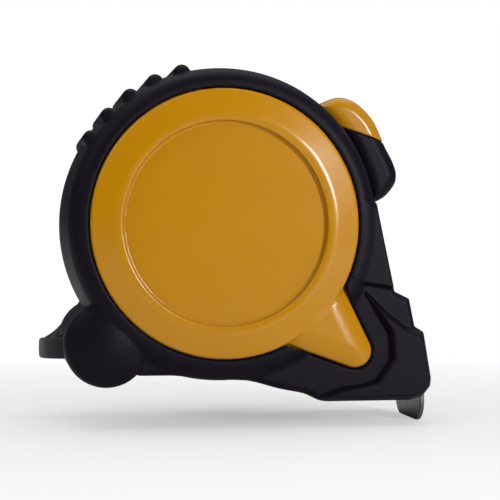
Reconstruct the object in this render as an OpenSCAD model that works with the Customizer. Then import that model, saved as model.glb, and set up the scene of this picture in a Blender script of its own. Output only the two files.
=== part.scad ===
// Pocket tape measure: rubber-jacketed round case with glossy side discs, thumb lock,
// end hook, spring reel, belt clip and wrist strap.
// Everything is drawn about the reel axis and then moved to the frame's origin.
// +X runs to the mouth, +Z is up, and the left side with the belt clip is +Y.

/* [Case] */
// Radius of the round body over its rubber jacket
case_r = 30.6; // [28:0.2:37]
// Thickness of the rubber jacket
jacket_t = 2.0; // [1.4:0.1:2.6]
// Wall of the moulded shells
shell_wall = 1.6; // [1.2:0.1:2.2]
// Room and walls between the tape's edge and the rubber flank
flank_space = 7.2; // [6.8:0.1:9]
// How far the rubber face falls away from mid width to its corner
crown = 1.0; // [0:0.1:1.6]
// Radius of the glossy side disc
disc_r = 25.5; // [21:0.1:26]
// How far the disc's rim stands out of the rubber flank
rim_proud = 1.3; // [0.8:0.1:2]
// Radius of the flat recess in the disc
recess_r = 19.1; // [14:0.1:20]
// Depth of that recess below the rim
recess_depth = 1.4; // [0.6:0.1:1.6]
// Reach of the disc's tail past the disc, to the middle of its round tip
tail_reach = 9.5; // [6:0.1:11]
// Number of grip ribs
rib_count = 5; // [3:1:6]
// Radius of one grip rib
rib_r = 1.6; // [1:0.1:2]

/* [Nose and lobe] */
// Reach of the nose ahead of the round body
nose_ahead = 10.3; // [9:0.1:12.4]
// Drop of the nose below the round body
nose_below = 3.6; // [3:0.1:5]
// Radius of the strap lobe
lobe_r = 8.0; // [7:0.1:9.6]

/* [Tape and reel] */
// Width of the tape
tape_w = 19; // [13:1:25]
// Thickness of the tape
tape_t = 0.15; // [0.1:0.01:0.2]
// Radius of the tape's cupped cross-section
cup_r = 20; // [16:1:30]
// Outer radius of the spring drum that the tape is wound on
drum_r = 19.5; // [16:0.1:21]
// Radius of the fixed centre post
post_r = 3.0; // [2.4:0.1:3.6]

/* [End hook] */
// Thickness of the hook's steel
hook_t = 0.9; // [0.7:0.1:1.2]
// Height of the hook's tab, from the tape down
hook_drop = 13.9; // [12:0.1:16]
// Play of the hook on its rivets
hook_play = 0.9; // [0.7:0.1:1.2]

/* [Thumb lock] */
// Width of the thumb lock across the case
lock_w = 14; // [10:0.5:17]
// Turn of the lock about the reel axis, from free to locked, in degrees
lock_turn = 9; // [7:0.5:11]

/* [Belt clip] */
// Width of the clip
clip_w = 12; // [9:0.5:12]
// Thickness of the clip's steel
clip_t = 1.0; // [0.8:0.1:1.2]
// Room for the belt
belt_gap = 4.6; // [4.2:0.1:5.5]

/* [Wrist strap] */
// Width of the strap
strap_w = 4.0; // [3:0.1:4.4]
// Thickness of the strap
strap_t = 1.2; // [0.8:0.1:1.4]

/* [Hidden] */

ROUND_FN = 128;
SMALL_FN = 48;
EPS = 0.05;

YELLOW = "goldenrod";
RUBBER = "#1c1a24";
STEEL = "silver";
NYLON = "#303036";

// Radii of the case, from the outside in
shell_r = case_r - jacket_t;
cavity_r = shell_r - shell_wall;
coil_gap = 2.4;
coil_r = cavity_r - coil_gap;

// Distances outward from the split plane
tape_half = tape_w / 2;
flank_half = tape_half + flank_space;
rim_half = flank_half + rim_proud;
floor_half = rim_half - recess_depth;
shell_flank = flank_half - jacket_t + 0.2;
cavity_half = shell_flank - shell_wall;
deep_half = floor_half - 2.0;
nose_half = shell_flank - 0.2;
cheek_half = nose_half + 1.7;
guide_half = tape_half + 1.1;

// Nose
front = case_r + nose_ahead;
bottom = -(case_r + nose_below);

// Tape plane and mouth
blade_z = -(coil_r + 0.35);
cup_rise = cup_r - sqrt(cup_r * cup_r - tape_half * tape_half);
mouth_floor = blade_z - 0.9;
mouth_roof = blade_z + cup_rise + 0.9;
mouth_half = tape_half + 0.8;
guide_t = 1.0;
hook_bed = front - 1.9;
hook_face = front - 1.2;
hook_tip = blade_z - hook_drop;
rivet_r = 1.1;
rivet_at = [front - 4.6, front - 8.2];

// Strap lobe
lobe_polar = [case_r + 1.36, 225.8];
lobe_at = polar(lobe_polar[0], lobe_polar[1]);
strap_z = lobe_at[1] - 1.3;
strap_slot_half = 3.2;

// Yellow tail of the side disc
tail_r = 3.2;
tail_at = polar(disc_r + tail_reach, -44);
tail_half = rim_half - 0.5;
tail_from = -27.6;
tail_to = -63.3;
trim_gap = 0.25;

// Thumb lock
lock_half = lock_w / 2;
track_r = case_r - 0.2;
lock_r = case_r + 0.15;
stem_half = 3.5;
arm_r = [cavity_r - 1.5, cavity_r - 0.4];
slot_angles = [11, 32];

// Belt clip, measured outward and up from the reel axis
clip_in = floor_half + clip_t / 2;
clip_bend = (belt_gap + clip_t) / 2;
clip_out = clip_in + 2 * clip_bend;
clip_top = recess_r - 2.5;
clip_pinch = rim_half + 0.8 + clip_t / 2;

// Case screws: two in the nose and one in the lobe
screw_r = 1.3;
screw_head_r = 2.6;
screw_at = [
    [front - 7.7, bottom + 16.7],
    [front - 15.4, bottom + 4.4],
    polar(case_r - 1.2, 225.6)
];
screw_grip = 9;

// The frame's origin: the middle of the box's base
origin = [
    (front - case_r) / 2,
    (clip_out + clip_t / 2 - rim_half) / 2,
    hook_tip
];

// The strap's route about the reel axis: out of the lobe, round behind the case, up over
// the belt clip, down beside it, and back the same way 3 mm nearer to the case
strap_route = [
    [-24.6, -1.5, -24.2], [-29.6, -1.5, -24.2], [-32.2, -0.4, -24.2], [-33.4, 2.2, -24.3],
    [-33.7, 8.0, -24.6], [-33.6, 14.0, -24.9], [-32.4, 18.8, -24.9], [-29.0, 21.8, -22.8],
    [-24.4, 22.6, -17.6], [-19.6, 22.6, -9.4], [-14.4, 22.6, 0.0], [-11.0, 22.6, 8.4],
    [-10.2, 22.6, 15.4], [-8.0, 22.6, 21.4], [-3.2, 22.6, 24.0], [3.2, 22.6, 24.0],
    [8.0, 22.6, 21.4], [10.4, 22.6, 15.0], [11.2, 22.6, 3.0],
    [11.6, 23.0, -12.0], [11.8, 25.4, -20.0], [11.8, 25.4, -25.0], [11.8, 22.8, -27.4],
    [11.8, 20.4, -25.0], [11.6, 19.6, -18.0], [11.2, 19.6, -6.0], [10.4, 19.6, 15.0],
    [8.0, 19.6, 21.4], [3.2, 19.6, 24.0], [-3.2, 19.6, 24.0], [-8.0, 19.6, 21.4],
    [-10.2, 19.6, 15.4], [-11.0, 19.6, 8.4], [-14.4, 19.6, 0.0], [-23.6, 19.6, -16.4],
    [-28.4, 18.8, -22.2], [-31.0, 16.0, -24.4], [-31.9, 8.0, -24.4], [-31.2, 3.2, -24.2],
    [-28.6, 1.5, -24.2]
];

// ---------------------------------------------------------------- helpers

function polar(r, a) = [r * cos(a), r * sin(a)];

// Points of an arc about c, from angle a to angle b
function arc(c, r, a, b, n = 12) = [for (i = [0:n]) c + polar(r, a + (b - a) * i / n)];

module framed() {
    translate(-origin) children();
}

// A part of the right half is drawn outward, and the left half is its mirror image
module left_side() {
    mirror([0, 1, 0]) children();
}

// An outline in X and Z, made into a slab from a to b outward of the split plane
module slab(a, b) {
    rotate([90, 0, 0]) translate([0, 0, a]) linear_extrude(b - a) children();
}

// A slab that spans both halves
module span(half) {
    slab(-half, half) children();
}

// A profile of radius and outward distance, turned about the reel axis
module turned(profile) {
    rotate([90, 0, 0]) rotate_extrude($fn = ROUND_FN) polygon(profile);
}

// A sector of a ring about the reel axis, from angle a0 to a1 and across +-half
module ring_sector(r0, r1, a0, a1, half) {
    rotate([90, 0, 0]) rotate([0, 0, a0]) rotate_extrude(angle = a1 - a0, $fn = ROUND_FN)
        translate([r0, -half]) square([r1 - r0, 2 * half]);
}

// A round rod along Y at [x, z], from a to b outward of the split plane
module rod(at, r, a, b, fn = SMALL_FN) {
    translate([at[0], -a, at[1]]) rotate([90, 0, 0]) cylinder(r = r, h = b - a, $fn = fn);
}

// ---------------------------------------------------------------- outlines

// The nose, from the front of the round body down to the arch under it
function nose_points(g) = [
    [case_r * 0.6, case_r * 0.3],
    [case_r - 0.6 - g, 4.1],
    [front - 7.3 - g, bottom + 21.2],
    [front - 4.4 - g, bottom + 19.8 - g / 2],
    [front - 3.3 - g, bottom + 14.4 - g / 2],
    [front - 1.5 - g, bottom + 13.3 - g / 2],
    [front - g, bottom + 4.3],
    [front - 0.2 - g, bottom + 2.7 + g / 3],
    [front - 1.8 - g, bottom + 0.7 + g],
    [front - 4.4 - g, bottom + g],
    [front - 21.8, bottom + g],
    [front - 25.3, bottom + 1.5 + g],
    [front - 30.1, bottom + 2.5 + g],
    [front - 35.6, bottom + 4.1 + g],
    [front - 43.0, bottom + 5.2 + g],
    [lobe_at[0] + 6, bottom + 5.4 + g],
    [lobe_at[0], lobe_at[1] + 4],
    [0, 0]
];

// The raised cheek at the front of the nose
cheek_points = [
    [front - 10.3, bottom + 22.0],
    [front - 7.3, bottom + 21.2],
    [front - 4.4, bottom + 19.8],
    [front - 3.3, bottom + 14.4],
    [front - 1.5, bottom + 13.3],
    [front, bottom + 4.3],
    [front - 0.2, bottom + 2.7],
    [front - 1.8, bottom + 0.7],
    [front - 4.4, bottom],
    [front - 16.0, bottom],
    [front - 11.0, bottom + 4.6],
    [front - 8.2, bottom + 8.0],
    [front - 7.8, bottom + 11.0],
    [front - 8.8, bottom + 16.0]
];

// The tail of the side disc, grown by g
function tail_points(g) = concat(
    [polar(disc_r - 6, -45), polar(disc_r + g, tail_from + g)],
    arc(tail_at, tail_r + g, 22, -110, 10),
    [polar(disc_r + g, tail_to - g)]
);

// ---------------------------------------------------------------- case shells

// The shell's solid form under the rubber
module shell_core() {
    turned([[0, 0], [shell_r, 0], [shell_r, shell_flank], [0, shell_flank]]);
    slab(0, nose_half - jacket_t + 0.4) polygon(nose_points(jacket_t));
    rod(lobe_at, lobe_r - jacket_t, 0, shell_flank);
}

// The glossy disc with its rounded rim, flat recess and tail
module side_disc(g = 0) {
    rim_w = disc_r - recess_r;
    crest = disc_r - rim_w * 0.45;
    edge = rim_half - 1.2;
    turned(concat(
        [[0, cavity_half], [disc_r + g, cavity_half], [disc_r + g, edge]],
        [for (i = [1:6]) [
            crest + (disc_r + g - crest) * cos(15 * i),
            edge + 1.2 * sin(15 * i)
        ]],
        [for (i = [1:6]) [
            crest - (crest - recess_r) * sin(15 * i),
            floor_half + recess_depth * cos(15 * i)
        ]],
        [[0, floor_half]]
    ));
    slab(cavity_half, tail_half) polygon(tail_points(g));
}

// The spaces inside one half: reel chamber, mouth, brake pocket, lock slot and strap slot
module shell_spaces() {
    turned([
        [0, -EPS], [cavity_r, -EPS], [cavity_r, cavity_half],
        [disc_r - 2, cavity_half], [disc_r - 2, deep_half], [0, deep_half]
    ]);
    slab(-EPS, mouth_half) polygon([
        [0, mouth_floor], [front + 1, mouth_floor], [front + 1, mouth_roof], [0, mouth_roof]
    ]);
    slab(-EPS, lock_half - 0.9) polygon([
        polar(cavity_r - 1, -26), polar(cavity_r + 4.2, -24), [front - 10.0, bottom + 13.8],
        [front - 13.4, mouth_floor], [front - 22.5, mouth_floor], polar(cavity_r - 1, -60)
    ]);
    mouth_guide_form(EPS);
    slab(-EPS, mouth_half) polygon([
        [hook_bed, bottom - 1], [front + 1, bottom - 1],
        [front + 1, mouth_roof], [hook_bed, mouth_roof]
    ]);
    hook_bumper_form();
    lock_slot();
    strap_slot();
    strap_pin_form();
}

module lock_slot() {
    ring_sector(cavity_r - 1, case_r + 2, slot_angles[0], slot_angles[1], stem_half + 0.4);
}

module strap_slot() {
    translate([lobe_at[0] - lobe_r - 2, -strap_slot_half, strap_z - strap_w / 2 - 0.5])
        cube([lobe_r + 2.4, 2 * strap_slot_half, strap_w + 1]);
}

// Ring and boss that keep the reel centred across the case
module reel_guides() {
    turned([
        [post_r, guide_half], [post_r + 3, guide_half],
        [post_r + 3, deep_half + EPS], [post_r, deep_half + EPS]
    ]);
    turned([
        [drum_r + 1, guide_half], [drum_r + 2.2, guide_half],
        [drum_r + 2.2, deep_half + EPS], [drum_r + 1, deep_half + EPS]
    ]);
}

module half_shell() {
    difference() {
        union() {
            shell_core();
            side_disc();
        }
        shell_spaces();
    }
    reel_guides();
}

module right_case_shell() {
    color(YELLOW) framed() difference() {
        half_shell();
        for (at = screw_at) rod(at, screw_r, -EPS, screw_grip);
    }
}

module left_case_shell() {
    color(YELLOW) framed() left_side() difference() {
        half_shell();
        for (at = screw_at) {
            rod(at, screw_r + 0.2, -EPS, rim_half + 1);
            rod(at, screw_head_r + 0.3, screw_seat(at), rim_half + 1);
        }
        clip_screw_space();
    }
}

// Where a case screw's head sits, outward of the split plane
function screw_seat(at) = nose_half - 4.2;

// ---------------------------------------------------------------- rubber jackets

// Crowned round body of the rubber, with a rounded corner
module jacket_body() {
    corner = 3.0;
    turn_in = flank_half - corner;
    turned(concat(
        [[0, 0]],
        [for (i = [0:6]) [case_r - crown * pow(i / 6, 2), turn_in * i / 6]],
        [for (i = [1:6]) [
            case_r - crown - corner + corner * cos(15 * i),
            turn_in + corner * sin(15 * i)
        ]],
        [[0, flank_half]]
    ));
}

module grip_ribs() {
    for (i = [0:rib_count - 1]) {
        at = polar(case_r - 0.8, 105.5 + 10.5 * i);
        rod(at, rib_r, 0, flank_half - 4.2);
        translate([at[0], -(flank_half - 4.2), at[1]]) sphere(r = rib_r, $fn = SMALL_FN);
    }
}

// Path that the thumb lock slides along
module lock_track() {
    ring_sector(track_r, case_r + 12, -7, 53, lock_half + 0.6);
}

module half_jacket() {
    difference() {
        union() {
            jacket_body();
            grip_ribs();
            slab(0, nose_half) polygon(nose_points(0));
            slab(0, cheek_half) polygon(cheek_points);
            rod(lobe_at, lobe_r, 0, flank_half - 0.6);
        }
        shell_core();
        side_disc(trim_gap);
        rod([0, 0], disc_r + trim_gap, -EPS, rim_half + 1, ROUND_FN);
        slab(-EPS, mouth_half) polygon([
            [hook_bed - 8, bottom - 1], [front + 1, bottom - 1],
            [front + 1, mouth_roof], [hook_bed - 8, mouth_roof]
        ]);
        lock_slot();
        lock_track();
        strap_slot();
        strap_pin_form();
    }
}

module right_rubber_jacket() {
    color(RUBBER) framed() half_jacket();
}

module left_rubber_jacket() {
    color(RUBBER) framed() left_side() difference() {
        half_jacket();
        for (at = screw_at) rod(at, screw_head_r + 0.3, screw_seat(at), rim_half + 1);
    }
}

// ---------------------------------------------------------------- fixed inner pieces

module centre_post() {
    color(NYLON) framed() difference() {
        rod([0, 0], post_r, -deep_half, deep_half);
        left_side() rod([0, 0], screw_r, deep_half - 8, deep_half + EPS);
    }
}

module case_screws() {
    color(STEEL) framed() left_side() for (at = screw_at) difference() {
        union() {
            rod(at, screw_r, -screw_grip, screw_seat(at) + EPS);
            rod(at, screw_head_r, screw_seat(at), screw_seat(at) + 1.8);
        }
        for (turn = [0, 90]) translate([at[0], -screw_seat(at) - 1.8, at[1]])
            rotate([0, turn, 0]) cube([3, 2, 0.8], center = true);
    }
}

// Lower lip of the mouth
module mouth_guide_form(extra = 0) {
    translate([front - 16, -tape_half - 0.3, mouth_floor - guide_t])
        cube([16 + hook_bed - front, tape_w + 0.6, guide_t + extra]);
}

module mouth_guide() {
    color(STEEL) framed() mouth_guide_form();
}

// Rubber pad that the end hook lands on
module hook_bumper_form() {
    translate([hook_bed - 2.4, -tape_half + 1.5, bottom + jacket_t - 0.2])
        cube([2.8, tape_w - 3, mouth_floor - guide_t - bottom - jacket_t - 0.4]);
}

module hook_bumper() {
    color(RUBBER) framed() hook_bumper_form();
}

// Upright bar in the lobe that the strap is looped round
module strap_pin_form() {
    translate([lobe_at[0] - 2.2, 0, strap_z - strap_w / 2 - 2.5])
        cylinder(r = 0.8, h = strap_w + 5, $fn = SMALL_FN);
}

module strap_pin() {
    color(STEEL) framed() strap_pin_form();
}

// Leaf that clicks the thumb lock into its two places
module lock_detent_spring() {
    color(STEEL) framed() difference() {
        union() {
            ring_sector(cavity_r - 0.5, cavity_r - 0.2, -20, 8, lock_half + 2);
            ring_sector(cavity_r - 0.9, cavity_r - 0.2, -8, -5, lock_half + 2);
        }
        ring_sector(cavity_r - 3, cavity_r + 1, -30, 30, lock_half - 1.2);
    }
}

// ---------------------------------------------------------------- wrist strap

function unit(v) = v / norm(v);

function along(p, i) = unit(p[min(i + 1, len(p) - 1)] - p[max(i - 1, 0)]);

// The width's direction at point i, square to the route: upright where the band runs round
// the lobe, and level where it hangs beside the clip, with the sign of the one before, w
function width_at(p, i, w) = let (
    a = along(p, i),
    ref = p[i][0] > 5 ? [1, 0, 0] : [0, 0, 1],
    c = unit(ref - (ref * a) * a)
) c * w < 0 ? -c : c;

function widths(p, w, i = 0) =
    i == len(p) ? [] : let (c = width_at(p, i, w)) concat([c], widths(p, c, i + 1));

// A flat band with eight sides, swept along the route
module band(p, w, t) {
    across = widths(p, [0, 0, 1]);
    outline = [
        [0.5, 0.25], [0.36, 0.5], [-0.36, 0.5], [-0.5, 0.25],
        [-0.5, -0.25], [-0.36, -0.5], [0.36, -0.5], [0.5, -0.25]
    ];
    n = len(outline);
    points = [for (i = [0:len(p) - 1], o = outline)
        p[i] + across[i] * w * o[0] + cross(along(p, i), across[i]) * t * o[1]];
    sides = [for (i = [0:len(p) - 2], k = [0:n - 1]) each [
        [i * n + k, (i + 1) * n + k, i * n + (k + 1) % n],
        [i * n + (k + 1) % n, (i + 1) * n + k, (i + 1) * n + (k + 1) % n]
    ]];
    ends = [
        [for (k = [0:n - 1]) k],
        [for (k = [n - 1:-1:0]) (len(p) - 1) * n + k]
    ];
    polyhedron(points = points, faces = concat(sides, ends));
}

module wrist_strap() {
    color(RUBBER) framed() band(strap_route, strap_w, strap_t);
}

// ---------------------------------------------------------------- belt clip

// The clip's middle line, outward and up: plate, bend, leg, pinch and lifted lip
clip_line = concat(
    [[clip_in, -14], [clip_in, clip_top]],
    [for (i = [1:11]) [
        clip_in + clip_bend - clip_bend * cos(15 * i),
        clip_top + clip_bend * sin(15 * i)
    ]],
    [
        [clip_out, clip_top], [clip_out, -7], [clip_pinch + 0.6, -17],
        [clip_pinch, -20], [clip_pinch + 0.3, -22.5], [clip_pinch + 2.0, -27]
    ]
);

// Corner i of the line, moved sideways by s
function beside(p, i, s) = let (
    a = unit(p[max(i, 1)] - p[max(i, 1) - 1]),
    b = unit(p[min(i + 1, len(p) - 1)] - p[min(i, len(p) - 2)]),
    n = unit([-(a + b)[1], (a + b)[0]])
) p[i] + n * s / (n * [-a[1], a[0]]);

function ribbon(p, t) = concat(
    [for (i = [0:len(p) - 1]) beside(p, i, t / 2)],
    [for (i = [len(p) - 1:-1:0]) beside(p, i, -t / 2)]
);

module clip_screw_space() {
    rod([0, 0], screw_r + 0.1, deep_half - 1, floor_half + 1);
}

module belt_clip() {
    color(STEEL) framed() difference() {
        translate([clip_w / 2, 0, 0]) rotate([90, 0, -90]) mirror([1, 0, 0])
            linear_extrude(clip_w) polygon(ribbon(clip_line, clip_t));
        left_side() {
            rod([0, 0], screw_r + 0.1, floor_half - 1, floor_half + clip_t + EPS);
            translate([0, -floor_half - 0.1, 0]) rotate([90, 0, 0])
                cylinder(r1 = screw_r + 0.1, r2 = screw_head_r + 0.1, h = clip_t - 0.1, $fn = SMALL_FN);
            rod([0, 0], screw_head_r + 0.1, floor_half + clip_t - 0.02, clip_out + 3);
        }
    }
}

module belt_clip_screw() {
    color(STEEL) framed() left_side() difference() {
        union() {
            rod([0, 0], screw_r, deep_half - 8, floor_half + 0.12);
            translate([0, -floor_half - 0.1, 0]) rotate([90, 0, 0])
                cylinder(r1 = screw_r, r2 = screw_head_r, h = clip_t - 0.1, $fn = SMALL_FN);
        }
        for (turn = [0, 90]) translate([0, -floor_half - clip_t, 0])
            rotate([0, turn, 0]) cube([3, 1.4, 0.8], center = true);
    }
}

// ---------------------------------------------------------------- reel

drum_wall = 1.0;
drum_half = tape_half + 0.2;
spring_half = drum_half - 1.9;
hub_gap = 0.06;

// Cup that holds the power spring, open to the left
module reel_drum() {
    color(NYLON) framed() turned([
        [post_r + hub_gap, drum_half], [post_r + hub_gap, spring_half + 0.4],
        [post_r + 1.2, spring_half + 0.4], [drum_r - drum_wall, spring_half + 0.4],
        [drum_r - drum_wall, -drum_half], [drum_r, -drum_half], [drum_r, drum_half]
    ]);
}

// Lid of the spring drum
module reel_cover() {
    color(NYLON) framed() turned([
        [post_r + hub_gap, -drum_half], [drum_r - drum_wall, -drum_half],
        [drum_r - drum_wall, -drum_half + 1.2], [post_r + hub_gap, -drum_half + 1.2]
    ]);
}

// Wound tape, with the edges of its turns showing on both sides
module blade_coil() {
    turns = 12;
    step = (coil_r - drum_r) / turns;
    notch = 0.12;
    side = [for (i = [0:turns - 1]) each [
        [drum_r + step * i, tape_half - notch],
        [drum_r + step * (i + 0.2), tape_half],
        [drum_r + step * (i + 0.8), tape_half]
    ]];
    color("khaki") framed() turned(concat(
        side,
        [[coil_r, tape_half - notch], [coil_r, -tape_half + notch]],
        [for (i = [len(side) - 1:-1:0]) [side[i][0], -side[i][1]]]
    ));
}

// Spiral power spring between the post and the drum
module power_spring() {
    turns = 7;
    steps = 28;
    inner = post_r + 0.25;
    outer = drum_r - drum_wall - 0.7;
    t = 0.5;
    pitch = (outer - inner) / turns;
    line = [for (i = [0:turns * steps]) polar(inner + pitch * i / steps, 360 * i / steps)];
    color(STEEL) framed() span(spring_half - 0.4) polygon(ribbon(line, t));
}

// Thin liners that keep the tape's edges off the case
module slip_discs() {
    color("whitesmoke") framed() for (side = [0, 1]) mirror([0, side, 0]) turned([
        [post_r + hub_gap, guide_half - 0.5], [coil_r - 0.8, guide_half - 0.5],
        [coil_r - 0.8, guide_half - 0.2], [post_r + hub_gap, guide_half - 0.2]
    ]);
}

// ---------------------------------------------------------------- tape end and hook

tongue_from = -3;
tongue_to = front - 2.2;

// Height of the cupped tape at y across, for a rise that is a share of the full cup
function cup_at(y, share) = share * (cup_r - sqrt(cup_r * cup_r - y * y));

// Straight end of the tape: flat where it leaves the coil and cupped at the mouth
module blade_tongue_form() {
    stations = [tongue_from, 3, 6, 9, 12, 15, 18, tongue_to];
    share = [0, 0, 0.12, 0.35, 0.65, 0.88, 1, 1];
    k = 8;
    n = 2 * (k + 1);
    points = [for (i = [0:len(stations) - 1]) each concat(
        [for (j = [0:k]) let (y = tape_half * (2 * j / k - 1))
            [stations[i], y, blade_z + cup_at(y, share[i]) - tape_t / 2]],
        [for (j = [k:-1:0]) let (y = tape_half * (2 * j / k - 1))
            [stations[i], y, blade_z + cup_at(y, share[i]) + tape_t / 2]]
    )];
    sides = [for (i = [0:len(stations) - 2], j = [0:n - 1]) each [
        [i * n + j, (i + 1) * n + j, i * n + (j + 1) % n],
        [i * n + (j + 1) % n, (i + 1) * n + j, (i + 1) * n + (j + 1) % n]
    ]];
    ends = [for (j = [0:k - 1]) each [
        [j, j + 1, n - 2 - j], [j, n - 2 - j, n - 1 - j],
    ]];
    last = (len(stations) - 1) * n;
    far_ends = [for (f = ends) [last + f[0], last + f[2], last + f[1]]];
    polyhedron(points = points, faces = concat(sides, ends, far_ends));
}

module rivet_rods(r, a, b) {
    for (x = rivet_at) translate([x, 0, a]) cylinder(r = r, h = b - a, $fn = SMALL_FN);
}

module blade_tongue() {
    color("khaki") framed() difference() {
        blade_tongue_form();
        rivet_rods(rivet_r + 0.02, blade_z - 1, blade_z + 1);
    }
}

// The hook's plate lies in the cup of the tape, 0.06 mm above it
plate_low = blade_z + tape_t / 2 + 0.06;
plate_half = 6;

module hook_plate_outline(r_out, t) {
    a = asin(plate_half / cup_r);
    polygon(concat(
        arc([0, cup_r], r_out, -90 - a, -90 + a, 10),
        arc([0, cup_r], r_out - t, -90 + a, -90 - a, 10)
    ));
}

module end_hook() {
    head = plate_low + hook_t;
    corner = 4.2;
    color(STEEL) framed() difference() {
        union() {
            translate([front - 10.6, 0, blade_z]) rotate([90, 0, 90])
                linear_extrude(hook_face - front + 10.6 + EPS)
                    hook_plate_outline(cup_r - tape_t / 2 - 0.06, hook_t);
            translate([hook_face, 0, 0]) rotate([90, 0, 90]) linear_extrude(hook_t) polygon(concat(
                [[-plate_half, head + 0.7], [-tape_half, blade_z - 1.5]],
                arc([corner - tape_half, hook_tip + corner], corner, 180, 270, 8),
                arc([tape_half - corner, hook_tip + corner], corner, 270, 360, 8),
                [[tape_half, blade_z - 1.5], [plate_half, head + 0.7]]
            ));
        }
        for (x = rivet_at) translate([x, 0, blade_z - 1]) {
            cylinder(r = rivet_r + 0.03, h = 4, $fn = SMALL_FN);
            translate([-hook_play - 0.06, 0, 0])
                cylinder(r = rivet_r + 0.03, h = 4, $fn = SMALL_FN);
            translate([-hook_play - 0.06, -rivet_r - 0.03, 0])
                cube([hook_play + 0.06, 2 * rivet_r + 0.06, 4]);
        }
    }
}

// Rivets through the tape, with heads above the hook's plate and clenched under the tape
module hook_rivets() {
    color("gainsboro") framed() {
        rivet_rods(rivet_r, blade_z - tape_t, plate_low + hook_t + 0.1);
        for (x = rivet_at) {
            translate([x, 0, plate_low + hook_t + 0.08]) cylinder(r = 1.75, h = 0.6, $fn = SMALL_FN);
            translate([x, 0, blade_z - tape_t / 2 - 0.52]) cylinder(r = 1.6, h = 0.5, $fn = SMALL_FN);
        }
    }
}

// ---------------------------------------------------------------- thumb lock

split_from = polar(case_r + 0.2, 39.5);
split_to = polar(case_r + 6.8, 25.9);

// Side view of the whole lock, button and grip together
lock_points = concat(
    arc([0, 0], lock_r, 7.6, 50, 14),
    [
        polar(case_r + 3.9, 47.3), polar(case_r + 5.7, 43.0), polar(case_r + 6.6, 38.0),
        polar(case_r + 7.0, 33.0), polar(case_r + 7.0, 26.0), polar(case_r + 7.0, 19.0),
        polar(case_r + 6.9, 15.5), polar(case_r + 6.2, 13.0), polar(case_r + 5.0, 11.0)
    ]
);

// Everything above the line that parts the button from the grip
module button_side() {
    d = unit(split_to - split_from);
    n = [-d[1], d[0]];
    polygon([
        split_from - 30 * d, split_to + 30 * d,
        split_to + 30 * d + 40 * n, split_from - 30 * d + 40 * n
    ]);
}

module stem_space(extra) {
    ring_sector(cavity_r - 0.6, case_r + 2.6, slot_angles[0] + 10 - extra,
        slot_angles[1] - 1 + extra, stem_half + extra / 10);
}

module lock_button() {
    color(YELLOW) framed() difference() {
        span(lock_half) intersection() {
            polygon(lock_points);
            button_side();
        }
        stem_space(0);
    }
}

module lock_grip() {
    color(RUBBER) framed() difference() {
        span(lock_half) difference() {
            polygon(lock_points);
            button_side();
        }
        stem_space(0);
    }
}

// Stem, curved arm and foot in one moulding
module lock_slide() {
    foot_x = [20, 26];
    foot_z = [blade_z + 1.7, blade_z + 4.4];
    arm_mid = (arm_r[0] + arm_r[1]) / 2;
    color(NYLON) framed() {
        stem_space(0);
        ring_sector(arm_r[0], arm_r[1], -34, slot_angles[1] - 3, lock_half - 1.6);
        span(lock_half - 2.2) polygon(concat(
            [polar(arm_mid, -30)],
            [for (c = [[foot_x[1], foot_z[1]], [foot_x[1], foot_z[0]],
                       [foot_x[0], foot_z[0]], [foot_x[0], foot_z[1]]]) unlocked(c)],
            [polar(arm_mid, -36)]
        ));
    }
}

// A point of the locked pose, turned back to where it rests unlocked
function unlocked(c) = [
    c[0] * cos(lock_turn) - c[1] * sin(lock_turn),
    c[0] * sin(lock_turn) + c[1] * cos(lock_turn)
];

// Rubber shoe that presses the tape when locked
module brake_pad() {
    color(RUBBER) framed() span(4) polygon([
        for (c = [[20, blade_z + 1.7], [26, blade_z + 1.7],
                  [26, blade_z + 0.75], [20, blade_z + 0.75]]) unlocked(c)
    ]);
}

right_case_shell();
left_case_shell();
right_rubber_jacket();
left_rubber_jacket();
centre_post();
case_screws();
mouth_guide();
hook_bumper();
strap_pin();
wrist_strap();
belt_clip();
belt_clip_screw();
reel_drum();
reel_cover();
blade_coil();
power_spring();
slip_discs();
blade_tongue();
hook_rivets();
end_hook();
lock_button();
lock_grip();
lock_slide();
brake_pad();
lock_detent_spring();
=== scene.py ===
"""Pocket tape measure: its visible pieces, their finishes and a small studio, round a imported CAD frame.

Side views are drawn in millimetres about the reel's axis: x runs to the mouth, z is up, and a half of
the case is drawn by its distance outward from the split plane.
"""

import math
from types import SimpleNamespace

import bpy
import numpy as np
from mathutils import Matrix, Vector


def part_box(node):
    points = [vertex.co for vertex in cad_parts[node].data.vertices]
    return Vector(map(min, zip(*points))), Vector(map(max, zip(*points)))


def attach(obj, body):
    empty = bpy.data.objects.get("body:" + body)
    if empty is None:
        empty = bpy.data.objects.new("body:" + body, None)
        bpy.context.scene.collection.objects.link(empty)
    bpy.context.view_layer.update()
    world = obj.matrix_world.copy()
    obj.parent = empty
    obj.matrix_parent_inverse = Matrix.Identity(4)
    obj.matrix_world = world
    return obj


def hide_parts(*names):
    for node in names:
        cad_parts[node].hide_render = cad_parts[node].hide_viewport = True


bl_info = {
    "name": "Pocket tape measure",
    "version": (1, 0, 0),
    "blender": (4, 5, 0),
    "location": "3D View > Sidebar > Tape measure",
    "description": "Builds the pieces and finishes of a rubber-jacketed pocket tape measure",
    "category": "Add Mesh",
}

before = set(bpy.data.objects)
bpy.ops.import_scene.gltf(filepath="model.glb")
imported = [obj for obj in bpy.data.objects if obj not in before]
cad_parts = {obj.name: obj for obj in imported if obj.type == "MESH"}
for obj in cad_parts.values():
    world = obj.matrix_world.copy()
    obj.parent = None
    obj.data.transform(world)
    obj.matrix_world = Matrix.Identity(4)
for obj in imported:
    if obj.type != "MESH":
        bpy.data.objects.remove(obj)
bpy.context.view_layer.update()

MM = 0.001
RIGHT, LEFT = -1, 1
SIDE_NAMES = {RIGHT: "right", LEFT: "left"}


# ---------------------------------------------------------------- places taken from the frame


def middle(node):
    """Middle of a CAD node's box, in metres."""
    low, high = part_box(node)
    return (low + high) / 2


AXIS = middle("centre_post")


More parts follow.
